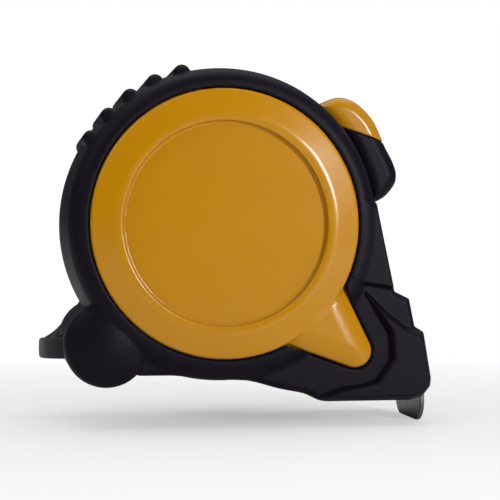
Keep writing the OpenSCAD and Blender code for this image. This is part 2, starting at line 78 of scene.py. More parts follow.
def reach(node):
    """A node's lowest and highest corner in millimetres about the reel's axis."""
    low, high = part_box(node)
    return (low - AXIS) / MM, (high - AXIS) / MM


JACKET_LOW, JACKET_HIGH = reach("right_rubber_jacket")
HOOK_LOW, HOOK_HIGH = reach("end_hook")
BLADE_LOW, BLADE_HIGH = reach("blade_tongue")
CLIP_HIGH = reach("belt_clip")[1]
POST_R = reach("centre_post")[1].x
LOCK_HALF = reach("lock_button")[1].y
RIM_HALF = -reach("right_case_shell")[0].y


def ray(radius, degrees):
    """The point at a radius and angle about the reel's axis."""
    turn = math.radians(degrees)
    return (radius * math.cos(turn), radius * math.sin(turn))


# ---------------------------------------------------------------- sizes and colours a user may change


def length(name, description, value):
    """A length, given in millimetres and kept in metres."""
    return bpy.props.FloatProperty(
        name=name, description=description, default=value * MM, min=0, precision=5, unit="LENGTH"
    )


def paint(name, description, colour):
    return bpy.props.FloatVectorProperty(
        name=name, description=description, default=colour, min=0, max=1, size=3, subtype="COLOR"
    )


class CaseSizes(bpy.types.PropertyGroup):
    """Sizes of the moulded shells and of their rubber jackets"""

    jacket: length("Jacket thickness", "Thickness of the rubber over the shell", 2.0)
    wall: length("Shell wall", "Thickness of the shell's walls", 1.6)
    crown: length("Crown", "Fall of the rubber from mid width to its corner", 1.0)
    corner: length("Corner", "Radius of the rubber's corner between its edge and its flank", 3.0)
    disc: length("Disc radius", "Radius of the glossy side disc", 25.5)
    recess: length("Recess radius", "Radius of the flat recess in the disc", 19.1)
    recess_depth: length("Recess depth", "Depth of the recess below the rim's crest", 1.4)
    crest: length("Crest radius", "Radius at which the disc's rim is highest", 20.5)
    proud: length("Rim height", "How far the rim stands out of the rubber", 1.3)
    gap: length("Trim gap", "Gap between the yellow trim and the rubber round it", 0.25)
    rib: length("Rib radius", "Radius of one grip rib", 1.6)
    lobe: length("Lobe radius", "Radius of the strap lobe", 8.0)
    tail_tip: length("Tail tip radius", "Radius of the disc's tail at its tip", 3.2)
    detail: length("Mesh step", "Size of one face of the moulded pieces' meshes", 0.42)


class LockSizes(bpy.types.PropertyGroup):
    """Sizes of the thumb lock"""

    edge: length("Edge radius", "Rounding along the two sides of the lock", 2.6)
    seam: length("Seam", "Half of the gap between the button and its rubber grip", 0.07)
    detail: length("Mesh step", "Size of one face of the lock's meshes", 0.3)


class MetalSizes(bpy.types.PropertyGroup):
    """Sizes of the hook, clip and screws"""

    hook: length("Hook thickness", "Thickness of the end hook's steel", 0.9)
    hook_corner: length("Hook corner", "Radius of the hook's lower corners", 4.2)
    clip: length("Clip thickness", "Thickness of the belt clip's steel", 1.0)
    detail: length("Mesh step", "Size of one face of the hook's mesh", 0.25)
    clip_detail: length("Clip mesh step", "Size of one face of the belt clip's mesh", 0.3)
    screw_detail: length("Screw mesh step", "Size of one face of the case screws' mesh", 0.22)
    fine_detail: length("Fine mesh step", "Size of one face of the rivets and the clip's screw", 0.16)


class StrapSizes(bpy.types.PropertyGroup):
    """Sizes of the wrist strap"""

    width: length("Strap width", "Width of the woven strap", 4.0)
    thickness: length("Strap thickness", "Thickness of the woven strap", 1.2)


class Finishes(bpy.types.PropertyGroup):
    """Colours of the materials"""

    yellow: paint("Yellow plastic", "Glossy plastic of the shells and button", (0.465, 0.203, 0.0003))
    rubber: paint("Black rubber", "Rubber of the jackets and grip", (0.0048, 0.0034, 0.0078))
    nylon: paint("Black nylon", "Moulded nylon of the reel and lock slide", (0.022, 0.022, 0.025))
    liner: paint("Liner", "Slip discs beside the wound tape", (0.72, 0.71, 0.67))
    webbing: paint("Strap webbing", "Woven strap", (0.018, 0.016, 0.024))
    steel: paint("Plated steel", "Nickel-plated clip and screws", (0.58, 0.57, 0.56))
    # Painted shade: the end hook's steel colour is darkened to stand in for the dark surroundings that it
    # reflects.
    shade_darkened_steel: paint("Shade-darkened steel", "End hook steel, darkened as painted shade", (0.17, 0.16, 0.17))
    spring: paint("Spring steel", "Blued spring strip", (0.20, 0.21, 0.24))
    enamel: paint("Tape enamel", "Enamel of the tape", (0.80, 0.58, 0.06))
    ink: paint("Tape ink", "Printed graduations of the tape", (0.02, 0.02, 0.02))


class Studio(bpy.types.PropertyGroup):
    """Camera, floor and lights"""

    distance: length("Camera distance", "From the camera to the point it looks at", 300.0)
    lens: bpy.props.FloatProperty(
        name="Lens", description="Focal length of the camera", default=108.0, min=1, unit="CAMERA"
    )
    turn: bpy.props.FloatProperty(
        name="Camera turn",
        description="Angle of the view to the left of straight on",
        default=math.radians(9.4),
        subtype="ANGLE",
    )
    floor: paint("Floor", "Pale floor under the object", (0.86, 0.86, 0.86))


# Where the camera looks, in millimetres from the reel's axis
AIM = (7.26, 0, -4.97)
# Each light's turn to the right of the front, its height in degrees, distance and size in metres, and watts
LIGHTS = {
    "key": (28, 12, 0.42, (0.06, 0.11), 1.1),
    "left_fill": (-58, 40, 0.60, (0.5, 0.5), 0.8),
    "top": (170, 80, 0.60, (0.6, 0.6), 1.5),
}


# ---------------------------------------------------------------- solid forms by distance


def soft_max(a, b, radius):
    """The larger of two distances, with the edge between them rounded."""
    over_a = np.maximum(a + radius, 0)
    over_b = np.maximum(b + radius, 0)
    return np.minimum(np.maximum(a, b) + radius, 0) + np.hypot(over_a, over_b) - radius


def within(value, low, high):
    """Distance outside a stretch between two limits."""
    return np.abs(value - (low + high) / 2) - (high - low) / 2


class Form:
    """A solid, held as a function that gives each point's distance outside it."""

    def __init__(self, distance):
        self.distance = distance

    def join(self, other, fillet=0.0):
        return Form(lambda p: -soft_max(-self.distance(p), -other.distance(p), fillet))

    def cut(self, other, edge=0.0):
        return Form(lambda p: soft_max(self.distance(p), -other.distance(p), edge))

    def keep(self, other, edge=0.0):
        return Form(lambda p: soft_max(self.distance(p), other.distance(p), edge))


def joined(forms):
    """Several forms as one, with no fillets between them."""
    whole = forms[0]
    for form in forms[1:]:
        whole = whole.join(form)
    return whole


def through(points, steps=4):
    """A smooth line through points, by Catmull and Rom's rule."""
    line = []
    count = len(points)
    for i in range(count - 1):
        a, b, c, d = (np.array(points[min(max(k, 0), count - 1)], float) for k in range(i - 1, i + 3))
        bend, twist = 2 * a - 5 * b + 4 * c - d, 3 * b - a - 3 * c + d
        for s in range(steps):
            t = s / steps
            line.append(0.5 * (2 * b + (c - a) * t + bend * t**2 + twist * t**3))
    line.append(np.array(points[-1], float))
    return line


def arc(centre, radius, start, end, count=12):
    """Points along an arc, from one angle to another, in degrees."""
    turns = np.radians(np.linspace(start, end, count + 1))
    return [np.array(centre) + radius * np.array((math.cos(t), math.sin(t))) for t in turns]


# Further, squared, than any point from a line, and the least squared length of a line
FAR, TINY = 1e9, 1e-12


def inset(points, by):
    """An outline moved inward, corner by corner."""
    p = np.array(points, float)
    before, after = p - np.roll(p, 1, 0), np.roll(p, -1, 0) - p
    before /= np.linalg.norm(before, axis=1)[:, None]
    after /= np.linalg.norm(after, axis=1)[:, None]
    area = np.sum(p[:, 0] * np.roll(p[:, 1], -1) - np.roll(p[:, 0], -1) * p[:, 1])
    inward = math.copysign(1, area)
    normal = before + after
    normal = inward * np.stack([-normal[:, 1], normal[:, 0]], 1)
    edge = inward * np.stack([-before[:, 1], before[:, 0]], 1)
    return p + normal * (by / np.maximum(np.sum(normal * edge, 1), 0.2))[:, None]


def to_lines(u, v, starts, ends):
    """Distance from the nearest of some straight lines, given by their starts and ends."""
    nearest = np.full(u.shape, FAR)
    for (au, av), (bu, bv) in zip(starts, ends):
        eu, ev = bu - au, bv - av
        along = np.clip(((u - au) * eu + (v - av) * ev) / max(eu * eu + ev * ev, TINY), 0, 1)
        nearest = np.minimum(nearest, (u - au - along * eu) ** 2 + (v - av - along * ev) ** 2)
    return np.sqrt(nearest)


def outline(points, corner=0.0):
    """Distance in a flat view from a closed outline whose outer corners are rounded."""
    starts = inset(points, corner) if corner else np.array(points, float)
    ends = np.roll(starts, -1, 0)

    def distance(u, v):
        inside = np.zeros(u.shape, bool)
        for (au, av), (bu, bv) in zip(starts, ends):
            if av != bv:
                inside ^= ((av > v) != (bv > v)) & (u < (bu - au) * (v - av) / (bv - av) + au)
        return np.where(inside, -1, 1) * to_lines(u, v, starts, ends) - corner

    return distance


def circle(centre, radius):
    """Distance in a flat view from a circle."""
    return lambda u, v: np.hypot(u - centre[0], v - centre[1]) - radius


def rectangle(low, high):
    """Distance in a flat view from a rectangle given by two corners."""
    return lambda u, v: soft_max(within(u, low[0], high[0]), within(v, low[1], high[1]), 0)


def line_of(points, half):
    """Distance in a flat view from a band along an open line, half its width to each side."""
    line = np.array(points, float)
    return lambda u, v: to_lines(u, v, line, line[1:]) - half


def slab(shape, start, end, edge=0.0):
    """A side view's shape, made solid from start to end outward."""
    return Form(lambda p: soft_max(shape(p[:, 0], p[:, 2]), within(p[:, 1], start, end), edge))


def rod(at, radius, start, end, edge=0.0):
    """A round rod across the case."""
    return slab(circle(at, radius), start, end, edge)


def turned(shape):
    """A shape in radius and outward distance, turned about the reel's axis."""
    return Form(lambda p: shape(np.hypot(p[:, 0], p[:, 2]), p[:, 1]))


def sector(inner, outer, start, end, half, edge=0.0):
    """A sector of a ring about the reel's axis."""
    c0, s0 = ray(1, start)
    c1, s1 = ray(1, end)

    def shape(x, z):
        r = np.hypot(x, z)
        across = np.maximum(np.maximum(inner - r, r - outer), s0 * x - c0 * z)
        return np.maximum(across, c1 * z - s1 * x)

    return slab(shape, -half, half, edge)


def block(low, high, edge=0.0):
    """A box given by two corners."""
    low, high = np.array(low), np.array(high)

    def distance(p):
        d = within(p, low, high)
        return soft_max(soft_max(d[:, 0], d[:, 2], edge), d[:, 1], edge)

    return Form(distance)


OUTSIDE_SPLIT = Form(lambda p: -p[:, 1])


# ---------------------------------------------------------------- meshes


CORNERS = np.array([(i, j, k) for i in (0, 1) for j in (0, 1) for k in (0, 1)])
CELL_EDGES = [
    (a, b) for a in range(8) for b in range(a + 1, 8) if np.abs(CORNERS[a] - CORNERS[b]).sum() == 1
]
BLOCK = 6
BATCH = 200000


def sampled(form, low, step, shape):
    """Distances at the points of a grid, worked out in full only near the surface."""
    blocks = [math.ceil(n / BLOCK) for n in shape]
    field = np.empty([n * BLOCK for n in blocks])
    at = np.stack(np.meshgrid(*[np.arange(n) for n in blocks], indexing="ij"), -1).reshape(-1, 3)
    rough = form.distance(low + (at + 0.5) * BLOCK * step)
    near = np.abs(rough) < 0.95 * BLOCK * step + step
    inner = np.stack(np.meshgrid(*[np.arange(BLOCK)] * 3, indexing="ij"), -1).reshape(-1, 3)
    tiles = field.reshape(blocks[0], BLOCK, blocks[1], BLOCK, blocks[2], BLOCK)
    tiles[:] = rough.reshape(blocks)[:, None, :, None, :, None]
    nodes = (at[near][:, None, :] * BLOCK + inner[None]).reshape(-1, 3)
    for part in np.array_split(nodes, max(1, len(nodes) // BATCH)):
        field[part[:, 0], part[:, 1], part[:, 2]] = form.distance(low + part * step)
    return field


def slope(form, points, by=0.02):
    """The direction in which the distance grows, by small steps to each side."""
    parts = []
    for axis in range(3):
        shift = np.zeros(3)
        shift[axis] = by
        parts.append((form.distance(points + shift) - form.distance(points - shift)) / (2 * by))
    return np.stack(parts, 1)


def crossings(field, at):
    """For each cell, the middle of the places where the surface cuts its edges, in grid steps."""
    total, hits = np.zeros((len(at), 3)), np.zeros(len(at))
    for a, b in CELL_EDGES:
        da, db = (field[tuple((at + CORNERS[k]).T)] for k in (a, b))
        cut = (da < 0) != (db < 0)
        t = np.where(cut, da / np.where(cut, da - db, 1), 0)
        total += np.where(cut[:, None], CORNERS[a] + t[:, None] * (CORNERS[b] - CORNERS[a]), 0)
        hits += cut
    return at + total / hits[:, None]


def settled(form, points, step):
    """Points moved onto a form's surface, and the outward normals there."""
    for _ in range(3):
        normals = slope(form, points)
        steep = np.maximum(np.sum(normals * normals, 1), 0.2)
        shift = -form.distance(points)[:, None] * normals / steep[:, None]
        points = points + np.clip(shift, -step / 2, step / 2)
    normals = slope(form, points)
    return points, normals / np.maximum(np.linalg.norm(normals, axis=1), 1e-9)[:, None]


def cell_faces(inside, number):
    """A four-sided face, turned outward, across each grid edge that the surface cuts."""
    faces = []
    for axis in range(3):
        ahead, u, v = (np.eye(3, dtype=int)[(axis + k) % 3] for k in range(3))
        size = np.array(inside.shape) - ahead
        start = inside[: size[0], : size[1], : size[2]]
        end = inside[ahead[0] :, ahead[1] :, ahead[2] :]
        n = np.argwhere(start != end)
        n = n[np.all(n - u - v >= 0, 1) & np.all(n < np.array(number.shape), 1)]
        quads = np.stack([number[tuple((n - s).T)] for s in (0 * u, u, u + v, v)], 1)
        entering = ~start[tuple(n.T)]
        quads[entering] = quads[entering][:, ::-1]
        faces.append(quads)
    return np.concatenate(faces)


def skin(form, low, high, step):
    """A form's surface: points, outward normals and four-sided faces."""
    low = np.array(low, float) - 2 * step
    shape = [math.ceil((b - a) / step) + 3 for a, b in zip(low, high)]
    field = sampled(form, low, step, shape)
    inside = field < 0
    cells = tuple(n - 1 for n in field.shape)
    filled = np.zeros(cells, int)
    for i, j, k in CORNERS:
        filled += inside[i : i + cells[0], j : j + cells[1], k : k + cells[2]]
    crossed = (filled > 0) & (filled < 8)
    at = np.argwhere(crossed)
    number = np.full(cells, -1)
    number[crossed] = np.arange(len(at))
    points, normals = settled(form, low + crossings(field, at) * step, step)
    return points, normals, cell_faces(inside, number)


def new_piece(name, points, faces, normals=None):
    """A mesh object from points about the reel's axis in millimetres, with y to the left."""
    mesh = bpy.data.meshes.new(name)
    mesh.from_pydata((np.array(points) * MM + np.array(AXIS)).tolist(), [], faces)
    mesh.shade_smooth()
    if normals is not None:
        mesh.normals_split_custom_set_from_vertices(normals.tolist())
    piece = bpy.data.objects.new(name, mesh)
    bpy.context.scene.collection.objects.link(piece)
    return piece


def carved(name, form, box, step, side=None):
    """A piece with a form's surface. A half of the case is drawn outward and placed on its side."""
    points, normals, faces = skin(form, *box, step)
    if side == RIGHT:
        points[:, 1] *= -1
        normals[:, 1] *= -1
        faces = faces[:, ::-1]
    return new_piece(name, points, faces.tolist(), normals)


def finished(context, piece, body, node, slot):
    """Gives a piece the material that its slot names and its body, and hides the CAD node it stands for."""
    piece.data.materials.append(finish(context, slot))
    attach(piece, body)
    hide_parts(node)


def in_mm(group):
    """A group's lengths as plain numbers of millimetres."""
    return SimpleNamespace(**{name: round(getattr(group, name) / MM, 4) for name in group.__annotations__})


# ---------------------------------------------------------------- forms of the case

CASE_R = JACKET_HIGH.z
FRONT = JACKET_HIGH.x
BOTTOM = JACKET_LOW.z
TAPE_HALF = BLADE_HIGH.y
BLADE_HALF = 0.075
BLADE_Z = BLADE_LOW.z + BLADE_HALF
BLADE_CUP = 20.0
HOOK_UNDER = BLADE_Z + BLADE_HALF + 0.06
RIVETS_X = (FRONT - 4.6, FRONT - 8.2)
LOBE_AT = ray(CASE_R + 1.36, 225.8)
STRAP_Z = LOBE_AT[1] - 1.3
TAIL_AT = ray(35.0, -44)
SCREWS_AT = [(FRONT - 7.7, BOTTOM + 16.7), (FRONT - 15.4, BOTTOM + 4.4), ray(CASE_R - 1.2, 225.6)]
SCREW_R, SCREW_HEAD_R = 1.3, 2.6
SCREW_TIP = 9.0
CLIP_HOLE_R = 1.4
RIB_ANGLES = [105.5 + 10.5 * i for i in range(5)]
MOUTH_HALF = TAPE_HALF + 0.8
MOUTH_FLOOR = BLADE_Z - 0.9
MOUTH_ROOF = BLADE_HIGH.z + 0.9
LIP_FRONT = FRONT - 1.9

# The nose's front and the round corner below it, which the cheek shares
NOSE_FRONT = [
    (FRONT - 1.5, BOTTOM + 13.3), (FRONT, BOTTOM + 4.3), (FRONT - 0.2, BOTTOM + 2.7),
    (FRONT - 1.8, BOTTOM + 0.7), (FRONT - 4.4, BOTTOM),
]
NOSE_TOP = (FRONT - 7.3, BOTTOM + 21.2)
NECK = (CASE_R - 0.6, 4.1)


def case_sizes(context):
    """The case's sizes in millimetres, with those that follow from them."""
    c = in_mm(context.scene.tape_case)
    c.flank = RIM_HALF - c.proud
    c.floor = RIM_HALF - c.recess_depth
    c.shell_r = CASE_R - c.jacket
    c.shell_flank = c.flank - c.jacket + 0.2
    c.cavity_r = c.shell_r - c.wall
    c.cavity_half = c.shell_flank - c.wall
    c.deep_half = c.floor - 2.0
    c.nose_half = c.shell_flank - 0.2
    c.cheek_half = c.nose_half + 1.7
    c.screw_seat = c.nose_half - 4.2
    return c


def nose_outline():
    """The nose and the arch under it, as far as the strap lobe."""
    front = [
        (CASE_R * 0.6, CASE_R * 0.3), NECK, NOSE_TOP,
        (FRONT - 4.4, BOTTOM + 19.8), (FRONT - 3.3, BOTTOM + 14.4),
    ]
    arch = through([
        (FRONT - 20.6, BOTTOM), (FRONT - 22.4, BOTTOM + 0.3), (FRONT - 25.3, BOTTOM + 1.6),
        (FRONT - 30.1, BOTTOM + 2.6), (FRONT - 35.6, BOTTOM + 4.1), (FRONT - 43.0, BOTTOM + 5.2),
        (LOBE_AT[0] + 6, BOTTOM + 5.4),
    ])
    return outline([*front, *NOSE_FRONT, *arch, (LOBE_AT[0], LOBE_AT[1] + 4), (0, 0)], 0.5)


def cheek_outline():
    """The raised cheek, from the crease beside the disc round the front and along the base."""
    return outline([
        (26.6, BOTTOM + 22.0), (31.6, BOTTOM + 17.6), (35.4, BOTTOM + 14.6), *NOSE_FRONT,
        (19.4, BOTTOM), (17.4, BOTTOM + 1.4), (22.5, BOTTOM + 3.2),
        (29.0, BOTTOM + 4.6), (31.8, BOTTOM + 8.6), (31.4, BOTTOM + 13.2), (28.4, BOTTOM + 18.0),
    ], 0.6)


def web_outline():
    """The raised web between the disc and the front edge, above the crease."""
    return outline([ray(21, -20), (25.2, -11.6), (30.4, -12.4), NOSE_TOP, NECK, ray(24, 18)], 0.8)


def tail_outline(c):
    """The tail of the side disc, with its round tip."""
    tip = arc(TAIL_AT, c.tail_tip, 22, -110, 10)
    return outline([ray(19.5, -45), ray(c.disc, -27.6), *tip, ray(c.disc, -63.3)])


def disc_form(c):
    """The glossy disc: a round rim that falls outward like a shallow cone, and a flat recess."""
    tilt = math.radians(13)
    bend = 4.5
    crest_edge = c.crest + bend * math.sin(tilt)
    crest_drop = bend * (1 - math.cos(tilt))

    def surface(r, out):
        dome = np.hypot(r - c.crest, out - (RIM_HALF - bend)) - bend
        cone = (r - crest_edge) * math.sin(tilt) + (out - RIM_HALF + crest_drop) * math.cos(tilt)
        top = np.where(r > crest_edge, cone, np.where(out > RIM_HALF - bend, dome, out - RIM_HALF))
        rim = soft_max(soft_max(top, r - c.disc, 0.35), c.recess + 0.25 - r, 0.3)
        plate = soft_max(out - c.floor, r - c.disc, 0)
        return soft_max(-soft_max(-rim, -plate, 0.25), c.cavity_half - out, 0)

    return turned(surface)


def tail_form(c):
    """The domed tail, which falls towards its edges."""
    shape = tail_outline(c)
    top, fall, width = RIM_HALF - 0.9, 1.5, 5.0

    def distance(p):
        flat = shape(p[:, 0], p[:, 2])
        height = top - fall * np.clip(1 + flat / width, 0, 1.4) ** 2
        dome = (p[:, 1] - height) / 1.16
        return soft_max(soft_max(flat, dome, 0.4), MOUTH_HALF + 0.7 - p[:, 1], 0)

    return Form(distance)


def core_form(c):
    """The shell's solid form under the rubber."""
    nose = nose_outline()
    body = rod((0, 0), c.shell_r, 0, c.shell_flank, 1.4)
    nose_core = slab(lambda x, z: nose(x, z) + c.jacket, 0, c.nose_half - c.jacket - 1.1)
    return body.join(nose_core, 0.3).join(rod(LOBE_AT, c.lobe - c.jacket, 0, c.shell_flank, 1.4))


def mouth_space(back):
    """The mouth ahead of `back`, open to the front and downward."""
    return block((back, -1, BOTTOM - 2), (FRONT + 3, MOUTH_HALF, MOUTH_ROOF))


def lock_slot(c):
    """The slot in the round edge that the lock's stem slides in."""
    return sector(c.cavity_r - 1, CASE_R + 2, 11, 32, 3.9)


def strap_slot(c):
    """The slot across the lobe that the strap goes into."""
    wide, tall = 3.2, 2.5
    low = (LOBE_AT[0] - c.lobe - 4, -wide, STRAP_Z - tall)
    return block(low, (LOBE_AT[0] + 0.4, wide, STRAP_Z + tall))


def pin_space():
    """The upright hole for the bar that holds the strap."""
    x, radius, half = LOBE_AT[0] - 2.2, 0.8, 4.5
    return Form(lambda p: np.maximum(
        np.hypot(p[:, 0] - x, p[:, 1]) - radius, np.abs(p[:, 2] - STRAP_Z) - half))


def screw_well(c, at):
    """The well that a case screw's head sits in."""
    return rod(at, SCREW_HEAD_R + 0.3, c.screw_seat, RIM_HALF + 1)


def shell_form(c, side):
    """One moulded shell: walls, disc with its tail, reel chamber, mouth, slots and screw holes."""
    whole = core_form(c).join(disc_form(c)).join(tail_form(c), 0.3)
    chamber = rod((0, 0), c.cavity_r, -1, c.cavity_half, 0.6)
    deep = rod((0, 0), c.disc - 2, -1, c.deep_half, 0.6)
    throat = block((0, -1, MOUTH_FLOOR), (FRONT + 3, MOUTH_HALF, MOUTH_ROOF))
    lip = block((FRONT - 16, -1, MOUTH_FLOOR - 1), (LIP_FRONT, TAPE_HALF + 0.3, MOUTH_FLOOR + 0.1))
    pocket = slab(outline([
        ray(c.cavity_r - 1, -26), ray(c.cavity_r + 4.2, -24), (FRONT - 10, BOTTOM + 13.8),
        (FRONT - 13.4, MOUTH_FLOOR), (FRONT - 22.5, MOUTH_FLOOR), ray(c.cavity_r - 1, -60),
    ]), -1, LOCK_HALF - 0.9)
    shell = whole.cut(joined([
        chamber, deep, throat, lip, pocket, mouth_space(LIP_FRONT), lock_slot(c), strap_slot(c), pin_space(),
    ]), 0.15)
    for radius in (POST_R + 3, 22.7):
        ring = turned(rectangle((radius - 1.2, TAPE_HALF + 1.1), (radius, c.deep_half + 0.3)))
        shell = shell.join(ring, 0.2)
    for at in SCREWS_AT:
        if side == RIGHT:
            shell = shell.cut(rod(at, SCREW_R, -1, SCREW_TIP))
        else:
            shell = shell.cut(rod(at, SCREW_R + 0.2, -1, RIM_HALF + 1)).cut(screw_well(c, at))
    if side == LEFT:
        shell = shell.cut(rod((0, 0), CLIP_HOLE_R, c.deep_half - 1, c.floor + 1))
    return shell.keep(OUTSIDE_SPLIT, 0.1)


def jacket_body(c):
    """The round, crowned body of the rubber."""
    crown_half = c.flank - c.corner

    def surface(r, out):
        edge = CASE_R - c.crown * np.clip(out / crown_half, 0, 1.1) ** 2
        return soft_max((r - edge) / 1.01, out - c.flank, c.corner)

    return turned(surface)


def grip_rib(c, angle):
    """One round rib, with a round end on the shoulder."""
    at = ray(CASE_R - 0.8, angle)
    end = c.flank - 4.2

    def distance(p):
        past = np.maximum(p[:, 1] - end, 0)
        return np.sqrt((p[:, 0] - at[0]) ** 2 + (p[:, 2] - at[1]) ** 2 + past**2) - c.rib

    return Form(distance)


def lobe_form(c):
    """The strap lobe, with a domed face."""
    ball = 17.0

    def distance(p):
        away = np.hypot(p[:, 0] - LOBE_AT[0], p[:, 2] - LOBE_AT[1])
        dome = np.hypot(away, p[:, 1] - (c.flank + 0.1 - ball)) - ball
        return soft_max(away - c.lobe, dome, 1.2)

    return Form(distance)


def eased(part):
    """A part from 0 to 1, with a soft start and end."""
    t = np.clip(part, 0, 1)
    return t * t * (3 - 2 * t)


def nose_height(c):
    """Height of the nose's side: the raised web and cheek, and the hollow between cheek and tail."""
    cheek, web, tail = cheek_outline(), web_outline(), tail_outline(c)

    def height(x, z):
        low = c.nose_half + (c.cheek_half - c.nose_half) * eased(-cheek(x, z) / 1.4)
        beside_tail = eased((4.4 - tail(x, z)) / 3.9) * eased((x - 22.5) / 3.0)
        dip = 2.2 * beside_tail * eased(web(x, z) / 0.5)
        high = c.nose_half + (c.flank - 0.6 - c.nose_half) * eased(-web(x, z) / 0.9)
        return np.maximum(low - dip, high)

    return height


def nose_form(c):
    """The nose with its relief."""
    shape, height = nose_outline(), nose_height(c)

    def distance(p):
        top = (p[:, 1] - height(p[:, 0], p[:, 2])) / 1.8
        return soft_max(soft_max(shape(p[:, 0], p[:, 2]), top, 1.3), -p[:, 1], 0)

    return Form(distance)


def jacket_form(c, side):
    """One rubber jacket, moulded over its shell."""
    rubber = jacket_body(c)
    for angle in RIB_ANGLES:
        rubber = rubber.join(grip_rib(c, angle), 0.35)
    rubber = rubber.join(nose_form(c), 0.8).join(lobe_form(c), 0.25)
    tail = tail_outline(c)
    hole = slab(lambda x, z: np.minimum(tail(x, z), np.hypot(x, z) - c.disc) - c.gap, -2, RIM_HALF + 4)
    rubber = rubber.cut(core_form(c)).cut(hole, 0.45)
    rubber = rubber.cut(mouth_space(FRONT - 9.9), 0.4)
    rubber = rubber.cut(lock_slot(c)).cut(sector(CASE_R - 0.2, CASE_R + 12, -7, 53, LOCK_HALF + 0.6), 0.2)
    rubber = rubber.cut(strap_slot(c), 0.5).cut(pin_space())
    if side == LEFT:
        for at in SCREWS_AT:
            rubber = rubber.cut(screw_well(c, at), 0.3)
    return rubber.keep(OUTSIDE_SPLIT, 0.25)


# ---------------------------------------------------------------- forms of the lock, hook, clip and screws


def lock_outline():
    """Side view of the whole thumb lock: a hollow under it, and a saddle between two swells on top."""
    under = arc((0, 0), CASE_R + 0.15, 7.6, 50, 16)
    top = through([
        ray(CASE_R + 2.2, 48.6), ray(CASE_R + 4.5, 46.2), ray(CASE_R + 6.1, 42.2), ray(CASE_R + 6.8, 37.5),
        ray(CASE_R + 7.0, 33.0), ray(CASE_R + 6.7, 28.0), ray(CASE_R + 6.6, 24.5), ray(CASE_R + 6.9, 20.0),
        ray(CASE_R + 6.9, 16.0), ray(CASE_R + 6.0, 12.8), ray(CASE_R + 3.6, 9.6), ray(CASE_R + 1.0, 7.9),
    ], 4)
    return outline(under + top)


def lock_parts(c, k):
    """The button above the split and the rubber grip below it."""
    whole = slab(lock_outline(), -LOCK_HALF, LOCK_HALF, k.edge)
    start, end = np.array(ray(CASE_R + 0.2, 39.5)), np.array(ray(CASE_R + 6.8, 25.9))
    along = (end - start) / np.linalg.norm(end - start)

    def above(p):
        return (p[:, 0] - start[0]) * -along[1] + (p[:, 2] - start[1]) * along[0]

    stem = sector(c.cavity_r - 0.6, CASE_R + 2.6, 21, 31, 3.5)
    button = whole.keep(Form(lambda p: k.seam - above(p)), 0.25).cut(stem)
    grip = whole.keep(Form(lambda p: k.seam + above(p)), 0.25).cut(stem)
    return button, grip


def cupped(across):
    """How far the tape's cupped section rises at a distance from its middle."""
    return BLADE_CUP - np.sqrt(BLADE_CUP**2 - across**2)


def hook_form(m):
    """The end hook: a cupped plate on the tape and a tab with round corners in front of the mouth."""
    plate_half = 6.0
    face = FRONT - 1.2
    head = HOOK_UNDER + m.hook
    low = HOOK_LOW.z

    def plate(p):
        rise = cupped(np.clip(p[:, 1], -9, 9))
        across = np.abs(p[:, 2] - HOOK_UNDER - rise - m.hook / 2) - m.hook / 2
        ends = np.maximum(HOOK_LOW.x - p[:, 0], p[:, 0] - face - m.hook)
        return soft_max(soft_max(np.abs(p[:, 1]) - plate_half, ends, 1.0), across, 0.12)

    radius = m.hook_corner
    left = arc((radius - TAPE_HALF, low + radius), radius, 180, 270, 10)
    right = arc((TAPE_HALF - radius, low + radius), radius, 270, 360, 10)
    tab_shape = outline([
        (-plate_half, head + 0.7), (-TAPE_HALF, BLADE_Z - 1.5), *left,
        *right, (TAPE_HALF, BLADE_Z - 1.5), (plate_half, head + 0.7),
    ])

    def tab(p):
        across = np.abs(p[:, 0] - face - m.hook / 2) - m.hook / 2
        return soft_max(tab_shape(p[:, 1], p[:, 2]), across, 0.18)

    hook = Form(tab).join(Form(plate), 0.6)
    through_plate = Form(lambda p: np.abs(p[:, 2] - BLADE_Z) - 4)
    for x in RIVETS_X:
        slot = Form(lambda p, x=x: np.hypot(p[:, 0] - np.clip(p[:, 0], x - 0.96, x), p[:, 1]) - 1.13)
        hook = hook.cut(slot.keep(through_plate), 0.1)
    return hook


def rivet(m, x):
    """One rivet: a domed head above the hook's plate and a clenched end under the tape."""
    head = HOOK_UNDER + m.hook + 0.08
    foot = BLADE_Z - 0.595
    shank_r, dome_r, foot_r = 1.1, 2.85, 1.6

    def away(p):
        return np.hypot(p[:, 0] - x, p[:, 1])

    shank = Form(lambda p: np.maximum(away(p) - shank_r, np.maximum(foot - p[:, 2], p[:, 2] - head - 0.3)))
    dome = Form(lambda p: soft_max(np.hypot(away(p), p[:, 2] - head + 2.25) - dome_r, head - p[:, 2], 0.1))
    low = Form(lambda p: soft_max(away(p) - foot_r, np.abs(p[:, 2] - foot - 0.25) - 0.25, 0.15))
    return shank.join(dome).join(low)


def cross_recess(at, base, edge=0.15):
    """The cross recess of a screw's head, from its base outward."""
    long, short, tall = 1.5, 0.4, 2.2
    bars = [
        block((at[0] - wide, base, at[1] - high), (at[0] + wide, base + tall, at[1] + high))
        for wide, high in ((long, short), (short, long))
    ]
    return bars[0].join(bars[1], edge)


def case_screw(c, at):
    """One case screw with a rounded head, drawn to the left."""
    seat = c.screw_seat
    shank = rod(at, SCREW_R, -SCREW_TIP, seat + 0.3)
    head = rod(at, SCREW_HEAD_R, seat, seat + 1.8, 0.45)
    return shank.join(head, 0.1).cut(cross_recess(at, seat + 0.8), 0.08)


def clip_screw_form(c, m):
    """The clip's countersunk screw, drawn to the left."""
    top = c.floor + m.clip
    shank = rod((0, 0), SCREW_R, c.deep_half - 8, c.floor + 0.2)

    def cone(p):
        flare = (np.hypot(p[:, 0], p[:, 2]) - SCREW_R - (p[:, 1] - c.floor - 0.1) * 1.44) / 1.75
        return soft_max(soft_max(flare, p[:, 1] - top, 0.08), c.floor - p[:, 1], 0)

    return shank.join(Form(cone)).cut(cross_recess((0, 0), top - 0.7), 0.06)


